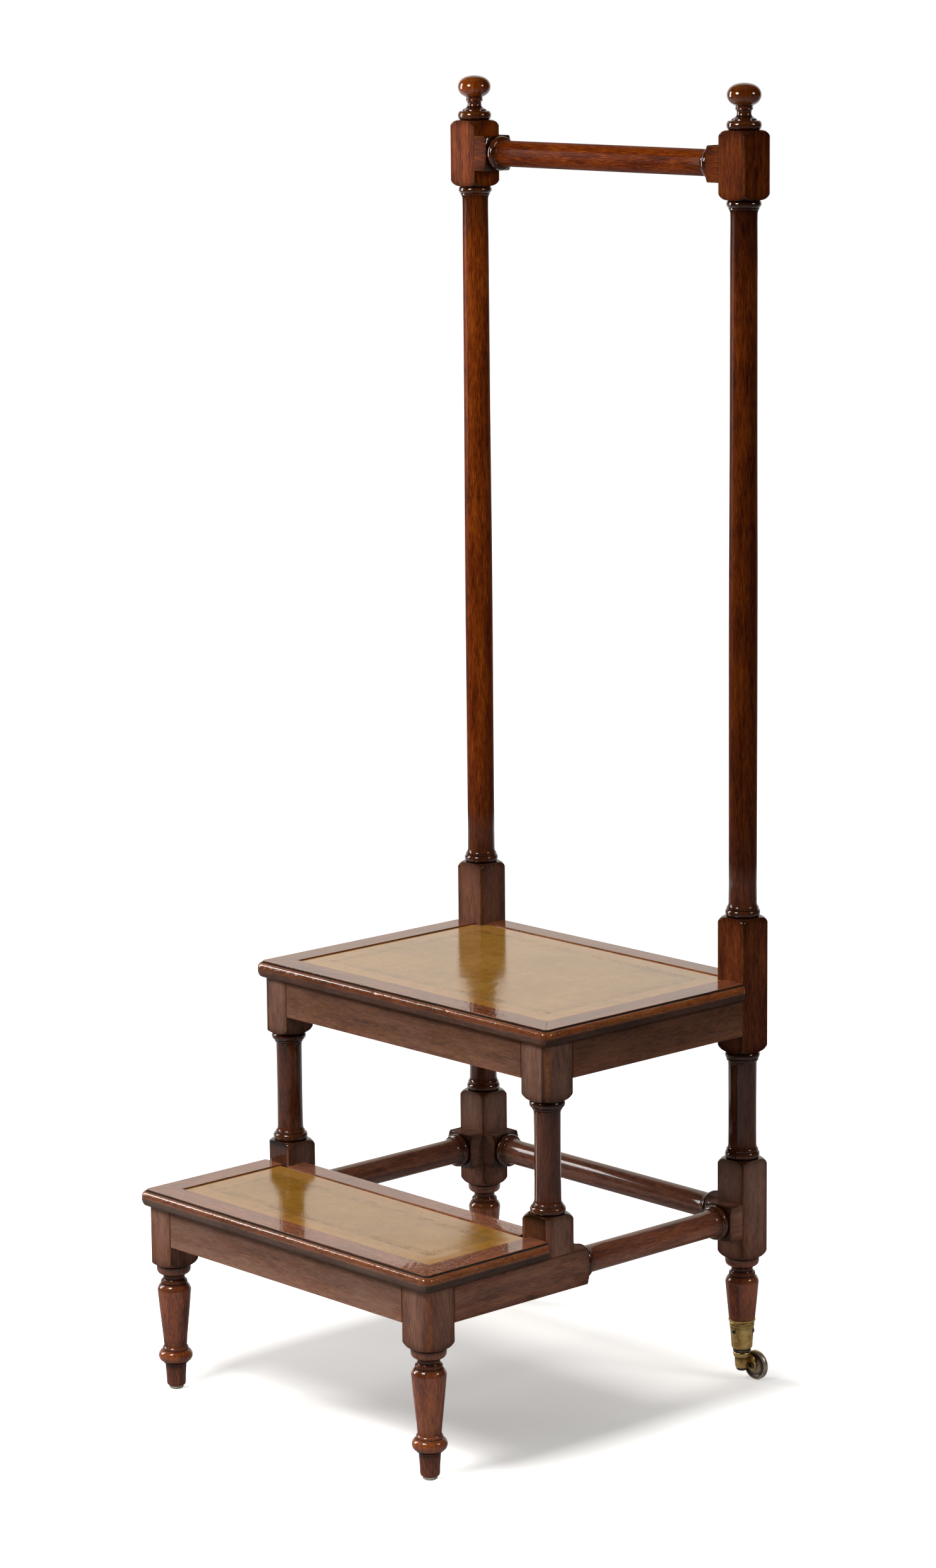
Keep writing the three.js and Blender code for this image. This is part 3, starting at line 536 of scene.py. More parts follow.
def section(half_u, half_v, rounds):
    """Angles round a squared section and its reach at each; rounds are the corner radii from +u+v on."""
    marks = [i * STEP for i in range(round(2 * pi / STEP))]
    centres = []
    for k, (su, sv) in enumerate(((1, 1), (-1, 1), (-1, -1), (1, -1))):
        c = rounds[k]
        cu, cv = su * (half_u - c), sv * (half_v - c)
        centres.append((cu, cv, c))
        steps = 4 if c < 3 else 9
        for i in range(steps + 1):
            turn = pi / 2 * (k + i / steps)
            marks.append(atan2(cv + c * sin(turn), cu + c * cos(turn)) % (2 * pi))
        for pu, pv in ((su * half_u, cv - sv * 0.5), (cu - su * 0.5, sv * half_v)):
            marks.append(atan2(pv, pu) % (2 * pi))
    angles = []
    for a in sorted(marks):
        if not angles or a - angles[-1] > 0.004:
            angles.append(a)
    reach = []
    for a in angles:
        du, dv = cos(a), sin(a)
        flat = min(half_u / max(abs(du), 1e-9), half_v / max(abs(dv), 1e-9))
        k = int(a // (pi / 2)) % 4
        cu, cv, c = centres[k]
        pu, pv = flat * du, flat * dv
        if abs(pu) > abs(cu) and abs(pv) > abs(cv):
            dot = cu * du + cv * dv
            flat = dot + sqrt(max(dot * dot - cu * cu - cv * cv + c * c, 0))
        reach.append(flat)
    return angles, reach


# Radii and heights where the wear on turned pieces changes: rings are bolder than the columns, and squared
# parts bolder still. The finials are polished all over, with a dark neck. The feet have dark toes and knees.
RING = 16.9
SQUARED = 24
FINIAL_FOOT = 1431
FINIAL_NECK = (1441, 1458)
FINIAL_BALL = 1448
TOE = 36
KNEE = (118, 136)
COLLAR_TOP = 152
LOWER_BLOCK_TOP = 262


def fading(gap, size):
    return exp(-gap / size)


def nearest(z, places):
    return min((abs(z - place) for place in places), default=99)


def squared_wear(z, excess, eased, shade):
    """Rub, dirt with painted shade, and gloss on a squared part; eased runs from -1 to 1 over a rounded front
    corner.
    """
    if eased is None:
        return 0.9 if excess > 0.9 else 0.0, shade + 0.45 * excess ** 2, 0.0
    golden = exp(-((eased - 0.25) / 0.5) ** 2)
    # Beside the rubbed band, on the side of a rounded front corner, a dark band is a painted dark reflection,
    # faint on the lower blocks
    caked_and_painted_dark = exp(-((eased + 0.6) / 0.45) ** 2) * (0.75 if z > LOWER_BLOCK_TOP else 0.15)
    return 0.9 * golden, shade + caked_and_painted_dark, 0.8 * max(golden, caked_and_painted_dark)


def round_wear(z, r, mean, shade, upright, low, rings):
    """Rub, dirt and gloss on a turned part whose radius near there has a mean."""
    ringed = r > RING or upright and z > FINIAL_FOOT
    hollow = max((mean - r - 0.25) / 1.8, 0)
    if r > RING and (not upright or COLLAR_TOP < z < FINIAL_BALL):
        hollow += 0.62
    if upright and FINIAL_NECK[0] < z < FINIAL_NECK[1]:
        hollow += 0.45
    if upright and (z < TOE or KNEE[0] < z < KNEE[1]):
        hollow += 0.32
    if not ringed:
        hollow += 0.42 * fading(nearest(z, rings), 11)
    gloss = 1.0 if ringed else 0.7 if low else 0.0
    return min(max((r - mean) / 3.0, 0), 0.5), min(hollow + 0.5 * shade, 1), gloss


def turned(name, outline, place, stands_for, along="z", halves=(BLOCK, BLOCK), rounds=(ARRIS,) * 4):
    """A piece squared to its halves and turned to its outline, which runs along an axis through a place."""
    angles, reach = section(*halves, rounds)
    levels = sorted({round(r, 4) for r in reach})
    stations = [outline[0]]
    for (z0, r0), (z1, r1) in zip(outline, outline[1:]):
        ways = sorted((level - r0) / (r1 - r0) for level in levels if min(r0, r1) < level < max(r0, r1))
        if not ways:
            count = int(abs(z1 - z0) // 24) + 1
            ways = [k / count for k in range(1, count)]
        stations += [(z0 + (z1 - z0) * way, r0 + (r1 - r0) * way) for way in ways]
        stations.append((z1, r1))
    if stations[0][0] > stations[-1][0]:
        stations.reverse()
    rings, flags, wear = [], [], []
    width = max(halves)
    upright = along == "z"
    dark_front = name.startswith("mid_post")
    # How far each angle is round a rounded front corner, from the side of the piece to its front
    eased = []
    for a in angles:
        turns = [(degrees(a) - corner) / 15 * way for corner, way in ((225, -1), (315, 1))
                 if rounds[corner // 90] > 3]
        eased.append(next((turn for turn in turns if abs(turn) < 1.01), None))
    ends = [z for (z, r), (_, after) in zip(stations, stations[1:]) if (r - SQUARED) * (after - SQUARED) <= 0]
    beads = [z for z, r in stations if RING < r < SQUARED]
    for z, r in stations:
        near = [q for p, q in stations if abs(p - z) < 3.2]
        mean = sum(near) / len(near)
        shade = 0.58 * fading(nearest(z, ends), 6.5)
        low = (z if upright else place[2]) < STEPS_BELOW
        for a, limit, turn in zip(angles, reach, eased):
            flags.append(2 if abs(r - limit) < 0.002 else (1 if r > limit else 0))
            if r <= limit:
                wear.append(round_wear(z, r, mean, shade, upright, low, beads))
            elif dark_front and z < PADS_BELOW and sin(a) < -0.75:
                wear.append((0.12, shade + 0.7, 0.9))
            else:
                wear.append(squared_wear(z, max((limit - width) / (width * 0.4), 0), turn, shade))
        rings.append([on_ring(along, place, z, min(r, limit), a) for a, limit in zip(angles, reach)])
    mesh = mesh_from(name, *skin(rings, flags))
    grain_of(mesh, along, wear)
    return piece(name, mesh, WOOD, stands_for)


# Posts and front legs
def rear_outline():
    return [
        (41.6, 10.4), (74.4, 12.2), (74.45, 15.1), (85, 16.1), (100, 17.6), *leg_head(LEG_TOP),
        *block(LEG_TOP, 266), *foot_of_column(266, 16.2),
        (300, 16.2), (340, 16.2), *foot_of_column(392, 16.2, -1),
        *block(392, 549), *foot_of_column(549, 16.0),
        (587, 15.9), (730, 16.05), (850, 16.2), (945, 16.1), (1018, 15.8), (1090, 15.5), (1228, 15.3),
        (1299, 15.15), (1330, 14.9), *foot_of_column(1355, 14.9, -1, crown=19.4, length=8.0),
        *block(1355, 1431.6), *finial_outline(1431.6),
    ]


def finial_outline(z):
    ball = []
    for i in range(1, 16):
        t = pi * (0.08 + 0.92 * i / 16)
        ball.append((z + 25.2 + 12.9 * (1 - cos(t)), 19.1 * sin(t) ** 0.80))
    return [
        (z + 0.1, 17.6), *bead(z + 0.3, z + 10.2, 19.4, 16.4), (z + 10.4, 14.4), (z + 10.8, 14.0),
        (z + 11.6, 13.9), (z + 12.2, 13.6), (z + 12.5, 12.6), (z + 13.6, 10.4), (z + 15.2, 8.8),
        (z + 17, 8.1), (z + 19, 8.0), (z + 20.6, 8.3), (z + 21.6, 8.9), (z + 22.0, 9.5), (z + 22.8, 9.9),
        (z + 23.8, 9.7), (z + 24.3, 9.3), (z + 24.9, 9.6), *ball, (z + 51.1, 2.0),
    ]


def mid_outline():
    lower = LOWER_TOP - TREAD
    return [
        (lower, PAST_CORNER), *block(lower + 1, 263, ends=(False, True)), *foot_of_column(263, 14.8),
        (300, 14.75), (350, 14.75), *foot_of_column(392, 14.8, -1),
        *block(392, UPPER_TOP - TREAD - GAP, ends=(True, False)),
    ]


def front_outline():
    return [
        (4.2, 9.2), (5.0, 10.3), (6.4, 10.75), (9, 10.9), (16, 11.2), (24, 11.8), (28.6, 12.1), (30.2, 12.6),
        (31.6, 13.8), (32.4, 15.0), *bead(32.8, 47.2, 19.5, 13.2, 12), (47.5, 14.6), (48.6, 14.9),
        (49.8, 14.7), (50.6, 13.9), (52.5, 13.1), (62, 13.9), (80, 15.7), (100, 17.7), *leg_head(LEG_TOP),
        *block(LEG_TOP, LOWER_TOP - TREAD - GAP, ends=(True, False)),
    ]


# Corner radii from +X+Y on, for stock whose outer front corner is rounded
FRONT_ROUNDS = {"left": (ARRIS, ARRIS, FRONT_CORNER, ARRIS), "right": (ARRIS, ARRIS, ARRIS, FRONT_CORNER)}

for hand, side in HANDS.items():
    x = side * HALF
    rounds = FRONT_ROUNDS[hand]
    turned(f"rear_post_{hand}_turned", rear_outline(), (x, REAR_Y, 0), f"rear_post_{hand}")
    turned(f"mid_post_{hand}_turned", mid_outline(), (x, MID_Y, 0), f"mid_post_{hand}", rounds=rounds)
    turned(f"front_leg_{hand}_turned", front_outline(), (x, FRONT_Y, 0), f"front_leg_{hand}", rounds=rounds)


# Rails with a squared pad and a bead at each end
def pad_end(start, way=1, length=20.0, rod=15.0):
    end = start + way * length
    pad = start + way * (length - 5.0)
    return [(start, PAST_CORNER), (pad, PAST_CORNER), *shoulder(end, pad, root=19.0)[::-1],
            *foot_of_column(end, rod, way)[::way]]


for name, z, rod in (("top_rail", TOP_RAIL_Z, 14.8), ("rear_stretcher", RAIL_Z, 14.6)):
    middle = [(-60, rod + 0.2), (60, rod + 0.2)]
    outline = pad_end(-SPAN, 1, rod=rod) + middle + pad_end(SPAN, -1, rod=rod)[::-1]
    turned(f"{name}_turned", outline, (0, REAR_Y, z), name, "x")

# The front part of each side rail is an apron as tall as two of these
APRON_HALF = 20.75
APRON_CORNER = 29.8
BEHIND = REAR_Y - BLOCK - GAP
apron_end = MID_Y + 38.5
ring_start = MID_Y + 44
for hand, side in HANDS.items():
    outline = [(FRONT_Y + BLOCK + GAP, APRON_CORNER), (apron_end, APRON_CORNER),
               *shoulder(ring_start, apron_end, root=19.2, reach=APRON_CORNER)[::-1],
               *foot_of_column(ring_start, 15.2), (MID_Y + 120, 15.3), (MID_Y + 200, 15.2),
               *pad_end(BEHIND, -1, 20.5)[::-1]]
    turned(f"side_rail_{hand}_turned", outline, (side * HALF, 0, RAIL_Z), f"side_rail_{hand}", "y",
           (APRON_HALF, BLOCK))


# Boards with eased edges
def board(name, low, high, along, stands_for, ease=0.5, gloss=0.0):
    bm = bmesh.new()
    bmesh.ops.create_cube(bm, size=1)
    size = [h - l for l, h in zip(low, high)]
    middle = [(h + l) / 2 for l, h in zip(low, high)]
    for v in bm.verts:
        v.co = Vector([(m + c * s) * MM for m, c, s in zip(middle, v.co, size)])
    long_axis = AXES[along][0]
    cuts = int(size[long_axis] // 12)
    bmesh.ops.bevel(bm, geom=list(bm.edges), offset=ease * MM, segments=2, profile=0.6, affect="EDGES")
    long_edges = [e for e in bm.edges
                  if abs(e.verts[0].co[long_axis] - e.verts[1].co[long_axis]) > size[long_axis] * 0.8 * MM]
    bmesh.ops.subdivide_edges(bm, edges=long_edges, cuts=cuts, use_grid_fill=True)
    mesh = bpy.data.meshes.new(name)
    bm.to_mesh(mesh)
    bm.free()
    wear = []
    for v in mesh.vertices:
        gaps = sorted(min(abs(c - l * MM), abs(h * MM - c)) for c, l, h in zip(v.co, low, high))
        edge = gaps[1] / MM
        # Aprons are painted darker just under the treads, a painted shadow of the nosing
        dark = 0 if gloss else 0.5 * fading(high[2] - v.co.z / MM, 3.5)
        wear.append((max(0, 0.7 - edge * 0.6) if dark < 0.5 else 0, dark, gloss))
    grain_of(mesh, along, wear)
    item = piece(name, mesh, WOOD, stands_for)
    item.modifiers.new("flat faces", "WEIGHTED_NORMAL").keep_sharp = True


def apron(node, axis, start, end):
    """An apron board as its solid, but without the tenons."""
    low, high = ([c / MM for c in corner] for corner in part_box(node))
    low[axis], high[axis] = start, end
    board(f"{node}_board", low, high, "xy"[axis], node)


for name in ("upper", "lower"):
    for place in ("front", "back"):
        apron(f"{name}_apron_{place}", 0, -SPAN, SPAN)
for hand in HANDS:
    apron(f"upper_apron_{hand}", 1, MID_Y + BLOCK + GAP, BEHIND)


# Tread borders with a moulded nosing
INSET = 8.3
LEDGE = 8.0
LEDGE_TOP = -14.3
NOSE_STEP = 22
MITRE_GAP = 0.17
INNER_HALF = HALF - BLOCK - 0.35
# The section from the inner edge on, as (reach beyond the post axes, height above the top)
NOSE = [
    (21.3, 0.0), (21.75, -0.12), (21.95, -0.5), (22.0, -1.7), (22.25, -2.05), (23.2, -2.15), (24.6, -2.5),
    (25.9, -3.3), (26.9, -4.6), (27.6, -6.4), (27.95, -8.6), (28.0, -10.6), (27.85, -12.8), (27.3, -15.0),
    (26.4, -16.9), (25.1, -18.3), (23.4, -19.2), (21.6, -19.5),
]
BORDER = [
    (-INSET, -0.35), (0.35 - INSET, 0.0), (0.9 - INSET, 0.0), (20.8, 0.0), *NOSE, (20.8, -TREAD),
    (-INSET - LEDGE, -TREAD), (-INSET - LEDGE, LEDGE_TOP), (-INSET, LEDGE_TOP),
]


def nose_round(reach):
    """The radius of the front corners, which shrinks from the nosing inwards."""
    return max(5 + reach - NOSE_STEP, 0.15)


def border_point(reach, z, angle, side, y0):
    """A point of the section where the front corner on one side has turned to an angle from the front."""
    r = nose_round(reach)
    return [side * (HALF + reach - r + r * sin(angle)), y0 - reach + r - r * cos(angle), z]


def nicked(point, knocks, y0, top):
    """Small knocks in the worn edge of the nosing, and a slight waviness along it."""
    x, y, z = point
    wave = 0.16 * noise.noise(Vector((x * 0.02, y * 0.02, z * 0.05 + top))) if z < -2.1 else 0.0
    sink = 0.0
    for kx, ky, kz, size, depth in knocks:
        gap = sqrt((x - kx) ** 2 + (y - ky) ** 2 + (z - kz) ** 2) / size
        if gap < 1:
            sink = max(sink, depth * (1 - gap * gap) ** 2)
    # Inwards from the front, or else from the side
    dx, dy = (0, 1) if abs(y - (y0 - 24)) < 9 else (-copysign(1, x), 0)
    return [x + dx * (sink + wave), y + dy * (sink + wave), z - 0.6 * sink]


def border_wear(o, z, front):
    """Rub, dirt and gloss at a point of the section: dark in the step, and dark and dull under the nosing,
    where the darkness is dirt with painted shade and a painted dark reflection.
    """
    if 21.9 < o < 23.3 and z > -3:
        return 0.0, 1.0, 0.0
    # Under the nosing the wood is painted dark, as painted shade and a painted dark reflection, darker on the
    # sides than at the front
    if z < -9 and o > 21:
        return 0.0, 0.66 if front else 0.84, 0.4
    if front and z < -4.5:
        return 0.42, 0.25, 1.0
    rubbed = 21 < o < 21.9 and z > -1 or 23 < o < 28.1 and z > -12
    return 0.8 if rubbed else 0.35, 0.0, 1.0


def border(label, y0, depth, top, back_inner, back_outer):
    knocks = []
    for _ in range(26):
        knocks.append((SHAKE.uniform(-HALF, HALF), y0 - NOSE_STEP - SHAKE.choice((0, 3.8, 5.4)),
                       SHAKE.choice((-0.4, -2.6, -4.8)), SHAKE.uniform(2.4, 4.5), SHAKE.uniform(0.12, 0.35)))
    for side in HANDS.values():
        for _ in range(8):
            knocks.append((side * (HALF + NOSE_STEP + SHAKE.choice((0, 4.5))),
                           SHAKE.uniform(y0, y0 + depth - 30), SHAKE.choice((-0.4, -3.2)),
                           SHAKE.uniform(2.4, 4.5), SHAKE.uniform(0.12, 0.3)))
    stop = y0 + depth - BLOCK - GAP
    turns = [radians(45) * i / 6 for i in range(7)]

    def corner(side, turns):
        return [[border_point(o, z, t, side, y0) for o, z in BORDER] for t in turns]

    def member(place, rings, along, flip=False):
        wear = [border_wear(o, z, along == "x") for o, z in BORDER]
        if flip:
            rings = [ring[::-1] for ring in rings]
            wear.reverse()
        rings = [[nicked(point, knocks, y0, top) for point in ring] for ring in rings]
        rings = [[[x, y, z + top] for x, y, z in ring] for ring in rings]
        mesh = mesh_from(f"{label}_border_{place}_moulded", *skin(rings))
        grain_of(mesh, along, wear * len(rings))
        piece(mesh.name, mesh, WOOD, f"{label}_border_{place}")

    # The front member, from the left mitre to the right
    count = int(HALF * 2 / 2.2)
    rings = corner(-1, turns[::-1])
    rings[0] = [[x + MITRE_GAP, y, z] for x, y, z in rings[0]]
    for k in range(1, count):
        way = -1 + 2 * k / count
        rings.append([[way * (HALF + o - nose_round(o)), y0 - o, z] for o, z in BORDER])
    rings += corner(1, turns)
    rings[-1] = [[x - MITRE_GAP, y, z] for x, y, z in rings[-1]]
    member("front", rings, "x")

    # The side members, from the mitre back to a rounded end at the post
    count = int(depth / 3)
    for hand, side in HANDS.items():
        rings = corner(side, [radians(90) - t for t in turns][::-1])
        rings[0] = [[x, y + MITRE_GAP, z] for x, y, z in rings[0]]
        for k in range(1, count):
            ring = []
            for o, z in BORDER:
                first, last = y0 - o + nose_round(o), stop - max(o - BLOCK, 0.2)
                ring.append([side * (HALF + o), first + (last - first) * k / count, z])
            rings.append(ring)
        for t in [radians(90) * i / 8 for i in range(9)]:
            ring = []
            for o, z in BORDER:
                r = max(o - BLOCK, 0.2)
                ring.append([side * (HALF + o - r + r * cos(t)), stop - r + r * sin(t), z])
            rings.append(ring)
        member(hand, rings, "y", flip=side < 0)

    # The back member stands between the posts
    low = [-INNER_HALF, y0 + depth - back_inner, top - TREAD]
    high = [INNER_HALF, y0 + depth + back_outer, top]
    board(f"{label}_border_back_board", low, high, "x", f"{label}_border_back", ease=0.7, gloss=1.0)


# Leather insets
# How far the leather's face and back are below the top of the tread, and how far its edges stay from the
# wood: further at the back and on the left, where it has shrunk
LEATHER_SINK = 1.3
LEATHER_BACK = 2.9
LEATHER_GAP = 0.35
SHRUNK_GAP = 0.9


def leather(label, y0, depth, top, back_inner):
    """The leather, a little uneven over its panel, its edge turned down, notched round the posts."""
    x0, x1 = SHRUNK_GAP + INSET - HALF, HALF - INSET - LEATHER_GAP
    ya, yb = y0 + INSET + LEATHER_GAP, y0 + depth - back_inner - SHRUNK_GAP
    notch_x, notch_y = INNER_HALF, y0 + depth - BLOCK - LEATHER_GAP

    def spread(low, high, size):
        count = max(int((high - low) / size), 2)
        inner = [low + (high - low) * i / count for i in range(1, count)]
        return [low, low + 0.4, low + 1.0, *inner, high - 1.0, high - 0.4, high]

    xs = sorted({round(v, 3) for v in [*spread(x0, x1, 4), -notch_x, notch_x]})
    ys = sorted({round(v, 3) for v in [*spread(ya, yb, 4), *([notch_y] if notch_y < yb else [])]})

    def gone(x, y):
        return abs(x) > notch_x + 0.01 and y > notch_y + 0.01

    def edge_gap(x, y):
        gap = min(x1 - x, x - x0, y - ya, yb - y)
        if notch_y < yb:
            dx, dy = notch_x - abs(x), notch_y - y
            gap = min(gap, hypot(max(dx, 0), max(dy, 0)) if dx > 0 or dy > 0 else 0)
        return max(gap, 0)

    def ragged(x, y):
        """The cut edge wanders a little along the back and the left."""
        if x - x0 < 0.01:
            x += 0.30 * noise.noise(Vector((y * 0.16, top, 0)))
        if yb - y < 0.01:
            y += 0.30 * noise.noise(Vector((x * 0.16, top, 5)))
        return x, y

    bm = bmesh.new()
    grid = {}
    for i, x in enumerate(xs):
        for j, y in enumerate(ys):
            gap = edge_gap(x, y)
            swell = 0.16 * noise.noise(Vector((x * 0.017, y * 0.021, top * 0.1)))
            swell += 0.05 * noise.noise(Vector((x * 0.07, y * 0.07, top * 0.1 + 5)))
            crease = 0.0
            if label == "upper":
                run = -(x - 30) * 0.43 + (y - 22) * 0.90
                off = (x - 30) * 0.90 + (y - 22) * 0.43
                crease = 0.26 * exp(-(off / 4.5) ** 2 - (run / 26) ** 2)
                crease += 0.16 * exp(-((off - 14) / 4.0) ** 2 - ((run + 9) / 20) ** 2)
            fade = min(gap / 14, 1)
            z = top - LEATHER_SINK + (swell + crease) * fade - (0.35 if gap < 0.2 else 0)
            px, py = ragged(x, y)
            grid[i, j] = bm.verts.new((px * MM, py * MM, z * MM))
    tops = []
    for i in range(len(xs) - 1):
        for j in range(len(ys) - 1):
            if gone((xs[i] + xs[i + 1]) / 2, (ys[j] + ys[j + 1]) / 2):
                continue
            tops.append(bm.faces.new((grid[i, j], grid[i + 1, j], grid[i + 1, j + 1], grid[i, j + 1])))
    bmesh.ops.delete(bm, geom=[v for v in bm.verts if not v.link_faces], context="VERTS")
    made = bmesh.ops.extrude_face_region(bm, geom=tops)
    for v in (g for g in made["geom"] if isinstance(g, bmesh.types.BMVert)):
        v.co.z = (top - LEATHER_BACK) * MM
    bmesh.ops.recalc_face_normals(bm, faces=bm.faces)
    mesh = bpy.data.meshes.new(f"{label}_leather_sheet")
    bm.to_mesh(mesh)
    bm.free()
    edge = []
    for v in mesh.vertices:
        x, y = v.co.x / MM, v.co.y / MM
        gap = edge_gap(x, y)
        across = min(x1 - x, x - x0) < min(y - ya, yb - y)
        edge.append((gap * MM, (y if across else x) * MM + 1, 0, 1))
    set_vectors(mesh, "edge", edge, "FLOAT_COLOR")
    piece(mesh.name, mesh, LEATHER, f"{label}_leather", sharp=50)


# Each tread's name, front axis, depth and height, and how far its back member reaches forwards and back
TREADS = (
    ("upper", MID_Y, REAR_Y - MID_Y, UPPER_TOP, 9.7, 17.0),
    ("lower", FRONT_Y, MID_Y - FRONT_Y, LOWER_TOP, 23.2, 3.0),
)
for label, y0, depth, top, back_inner, back_outer in TREADS:
    border(label, y0, depth, top, back_inner, back_outer)
    leather(label, y0, depth, top, back_inner)


# Castors
def lathe(outline, place, along, count):
    angles = [2 * pi * i / count for i in range(count)]
    return [[on_ring(along, place, z, r, a) for a in angles] for z, r in outline]


def shell(name, outline, place, stuff, stands_for, along="z", body=BODY, count=64, sharp=32):
    """A turned metal piece."""
    wear = []
    for z, r in outline:
        near = [q for p, q in outline if abs(p - z) < 1.8 and abs(q - r) < 3]
        mean = sum(near) / len(near)
        wear += [(min(max((r - mean) / 0.5, 0), 1), min(max((mean - r) / 0.45, 0), 1), 1)] * count
    mesh = mesh_from(name, *skin(lathe(outline, place, along, count)))
    grain_of(mesh, along, wear)
    return piece(name, mesh, stuff, stands_for, body, sharp)


def applied(item):
    """Makes the modifiers of a piece part of its mesh."""
    graph = bpy.context.evaluated_depsgraph_get()
    mesh = bpy.data.meshes.new_from_object(item.evaluated_get(graph))
    item.modifiers.clear()
    item.data = mesh
    return mesh


def fused(item, operation, *bodies):
    """Joins one piece to other bodies or cuts it by them, each given as its rings of points."""
    others = [placed("tool", mesh_from("tool", *skin(rings))) for rings in bodies]
    for other in others:
        modifier = item.modifiers.new("fuse", "BOOLEAN")
        modifier.operation = operation
        modifier.solver = "EXACT"
        modifier.object = other
    mesh = applied(item)
    for other in others:
        bpy.data.objects.remove(other)
    mesh.set_sharp_from_angle(angle=radians(32))


def eased(item, width):
    """Eases the hard edges of a cast piece."""
    modifier = item.modifiers.new("ease", "BEVEL")
    modifier.width = width * MM
    modifier.segments = 2
    modifier.limit_method = "ANGLE"
    modifier.angle_limit = radians(40)
    mesh = applied(item)
    mesh.shade_smooth()
    mesh.set_sharp_from_angle(angle=radians(45))


# The wheel's axis stands off the swivel pin by TRAIL along X and OFFSET along Y
TRAIL = 10.0
OFFSET = 12.8
WHEEL_RADIUS = 17.2
WHEEL_HALF = 3.3
ARM_THICKNESS = 3.0
ARM_END = 6.4
SCREW_HEIGHT = 60
SCREW_REACH = 13.55
SLOT = ((0.45, 3), (-3.2, 3.2), (-0.35, 0.35))

# Outlines of the turned metal, as (place along the axis, radius)
CUP = [
    (38.4, 8.0), (38.5, 10.6), (39.2, 11.5), (40.4, 12.0), (41.8, 12.15), (50, 12.7), (60, 13.5),
    (65.0, 13.95), (65.5, 14.0), (65.7, 14.4), (66.3, 14.5), (66.8, 14.35), (67.0, 14.05), (69.0, 14.1),
    (69.2, 14.5), (69.9, 14.65), (70.4, 14.5), (70.7, 14.3), (71.2, 14.7), (71.7, 15.3), (72.5, 15.8),
    (73.3, 15.9), (73.9, 15.7), (74.1, 15.2), (74.1, 13.4),
]
SCREW = [(-3.0, 1.0), (-1.0, 1.4), (-0.2, 2.75), (0.35, 2.7), (0.75, 2.2), (0.95, 1.2), (1.0, 0.3)]
WASHER = [(34.75, 3.6), (34.75, 9.9), (35.1, 10.3), (36.6, 10.4), (37.7, 10.2), (38.0, 9.8), (38.0, 3.6)]
PIN = [(11.2, 2.6), (11.6, 4.6), (12.4, 5.9), (13.4, 6.4), (14.6, 6.45), (14.65, 3.1), (40.6, 3.1)]
BOSS = [
    (15.0, 3.4), (15.0, 6.9), (15.5, 7.4), (17.5, 7.8), (22, 8.2), (27.2, 8.4), (28.0, 8.5), (28.4, 9.1),
    (28.9, 9.4), (29.6, 9.3), (29.9, 9.6), (30.8, 10.1), (32.6, 10.2), (33.6, 10.0), (34.1, 9.4), (34.1, 3.4),
]
HALF_WHEEL = [
    (-3.3, 2.75), (-3.3, 4.6), (-3.0, 5.2), (-2.3, 5.7), (-1.7, 6.8), (-1.3, 9), (-1.4, 11.5), (-1.9, 13.2),
    (-2.7, 14.1), (-3.3, 14.6), (-3.3, 15.6), (-2.9, 16.5), (-2.0, 17.05), (-0.8, WHEEL_RADIUS),
]
WHEEL = HALF_WHEEL + [(-z, r) for z, r in HALF_WHEEL[::-1]]
RIVET = [
    (-8.5, 0.8), (-8.3, 2.6), (-7.9, 3.4), (-7.15, 3.8), (-7.1, 2.4), (3.6, 2.4), (3.65, 3.8), (4.3, 3.4),
    (4.8, 2.4), (5.0, 0.8),
]
GLIDE = [(0.0, 5.2), (0.25, 6.6), (0.9, 7.7), (1.9, 8.3), (3.2, 8.45), (4.1, 8.2), (4.1, 2.7), (15, 2.7)]


def arm_rings(x, y):
    """The arm of the horn, from the boss out round the axle, seen along Y and as thick as its two rings."""
    turns = [radians(-100 + 15 * i) for i in range(11)]
    end = [(TRAIL + ARM_END * cos(t), WHEEL_RADIUS + ARM_END * sin(t)) for t in turns]
    outline = [(0.5, 15.4), *end, (14.0, 24.5), (12.0, 27.5), (9.8, 29.2), (5, 30.4), (0.5, 30.4)]
    inner = OFFSET - WHEEL_HALF - 0.5
    return [[[x + px, y + py, pz] for px, pz in outline] for py in (inner, inner - ARM_THICKNESS)]


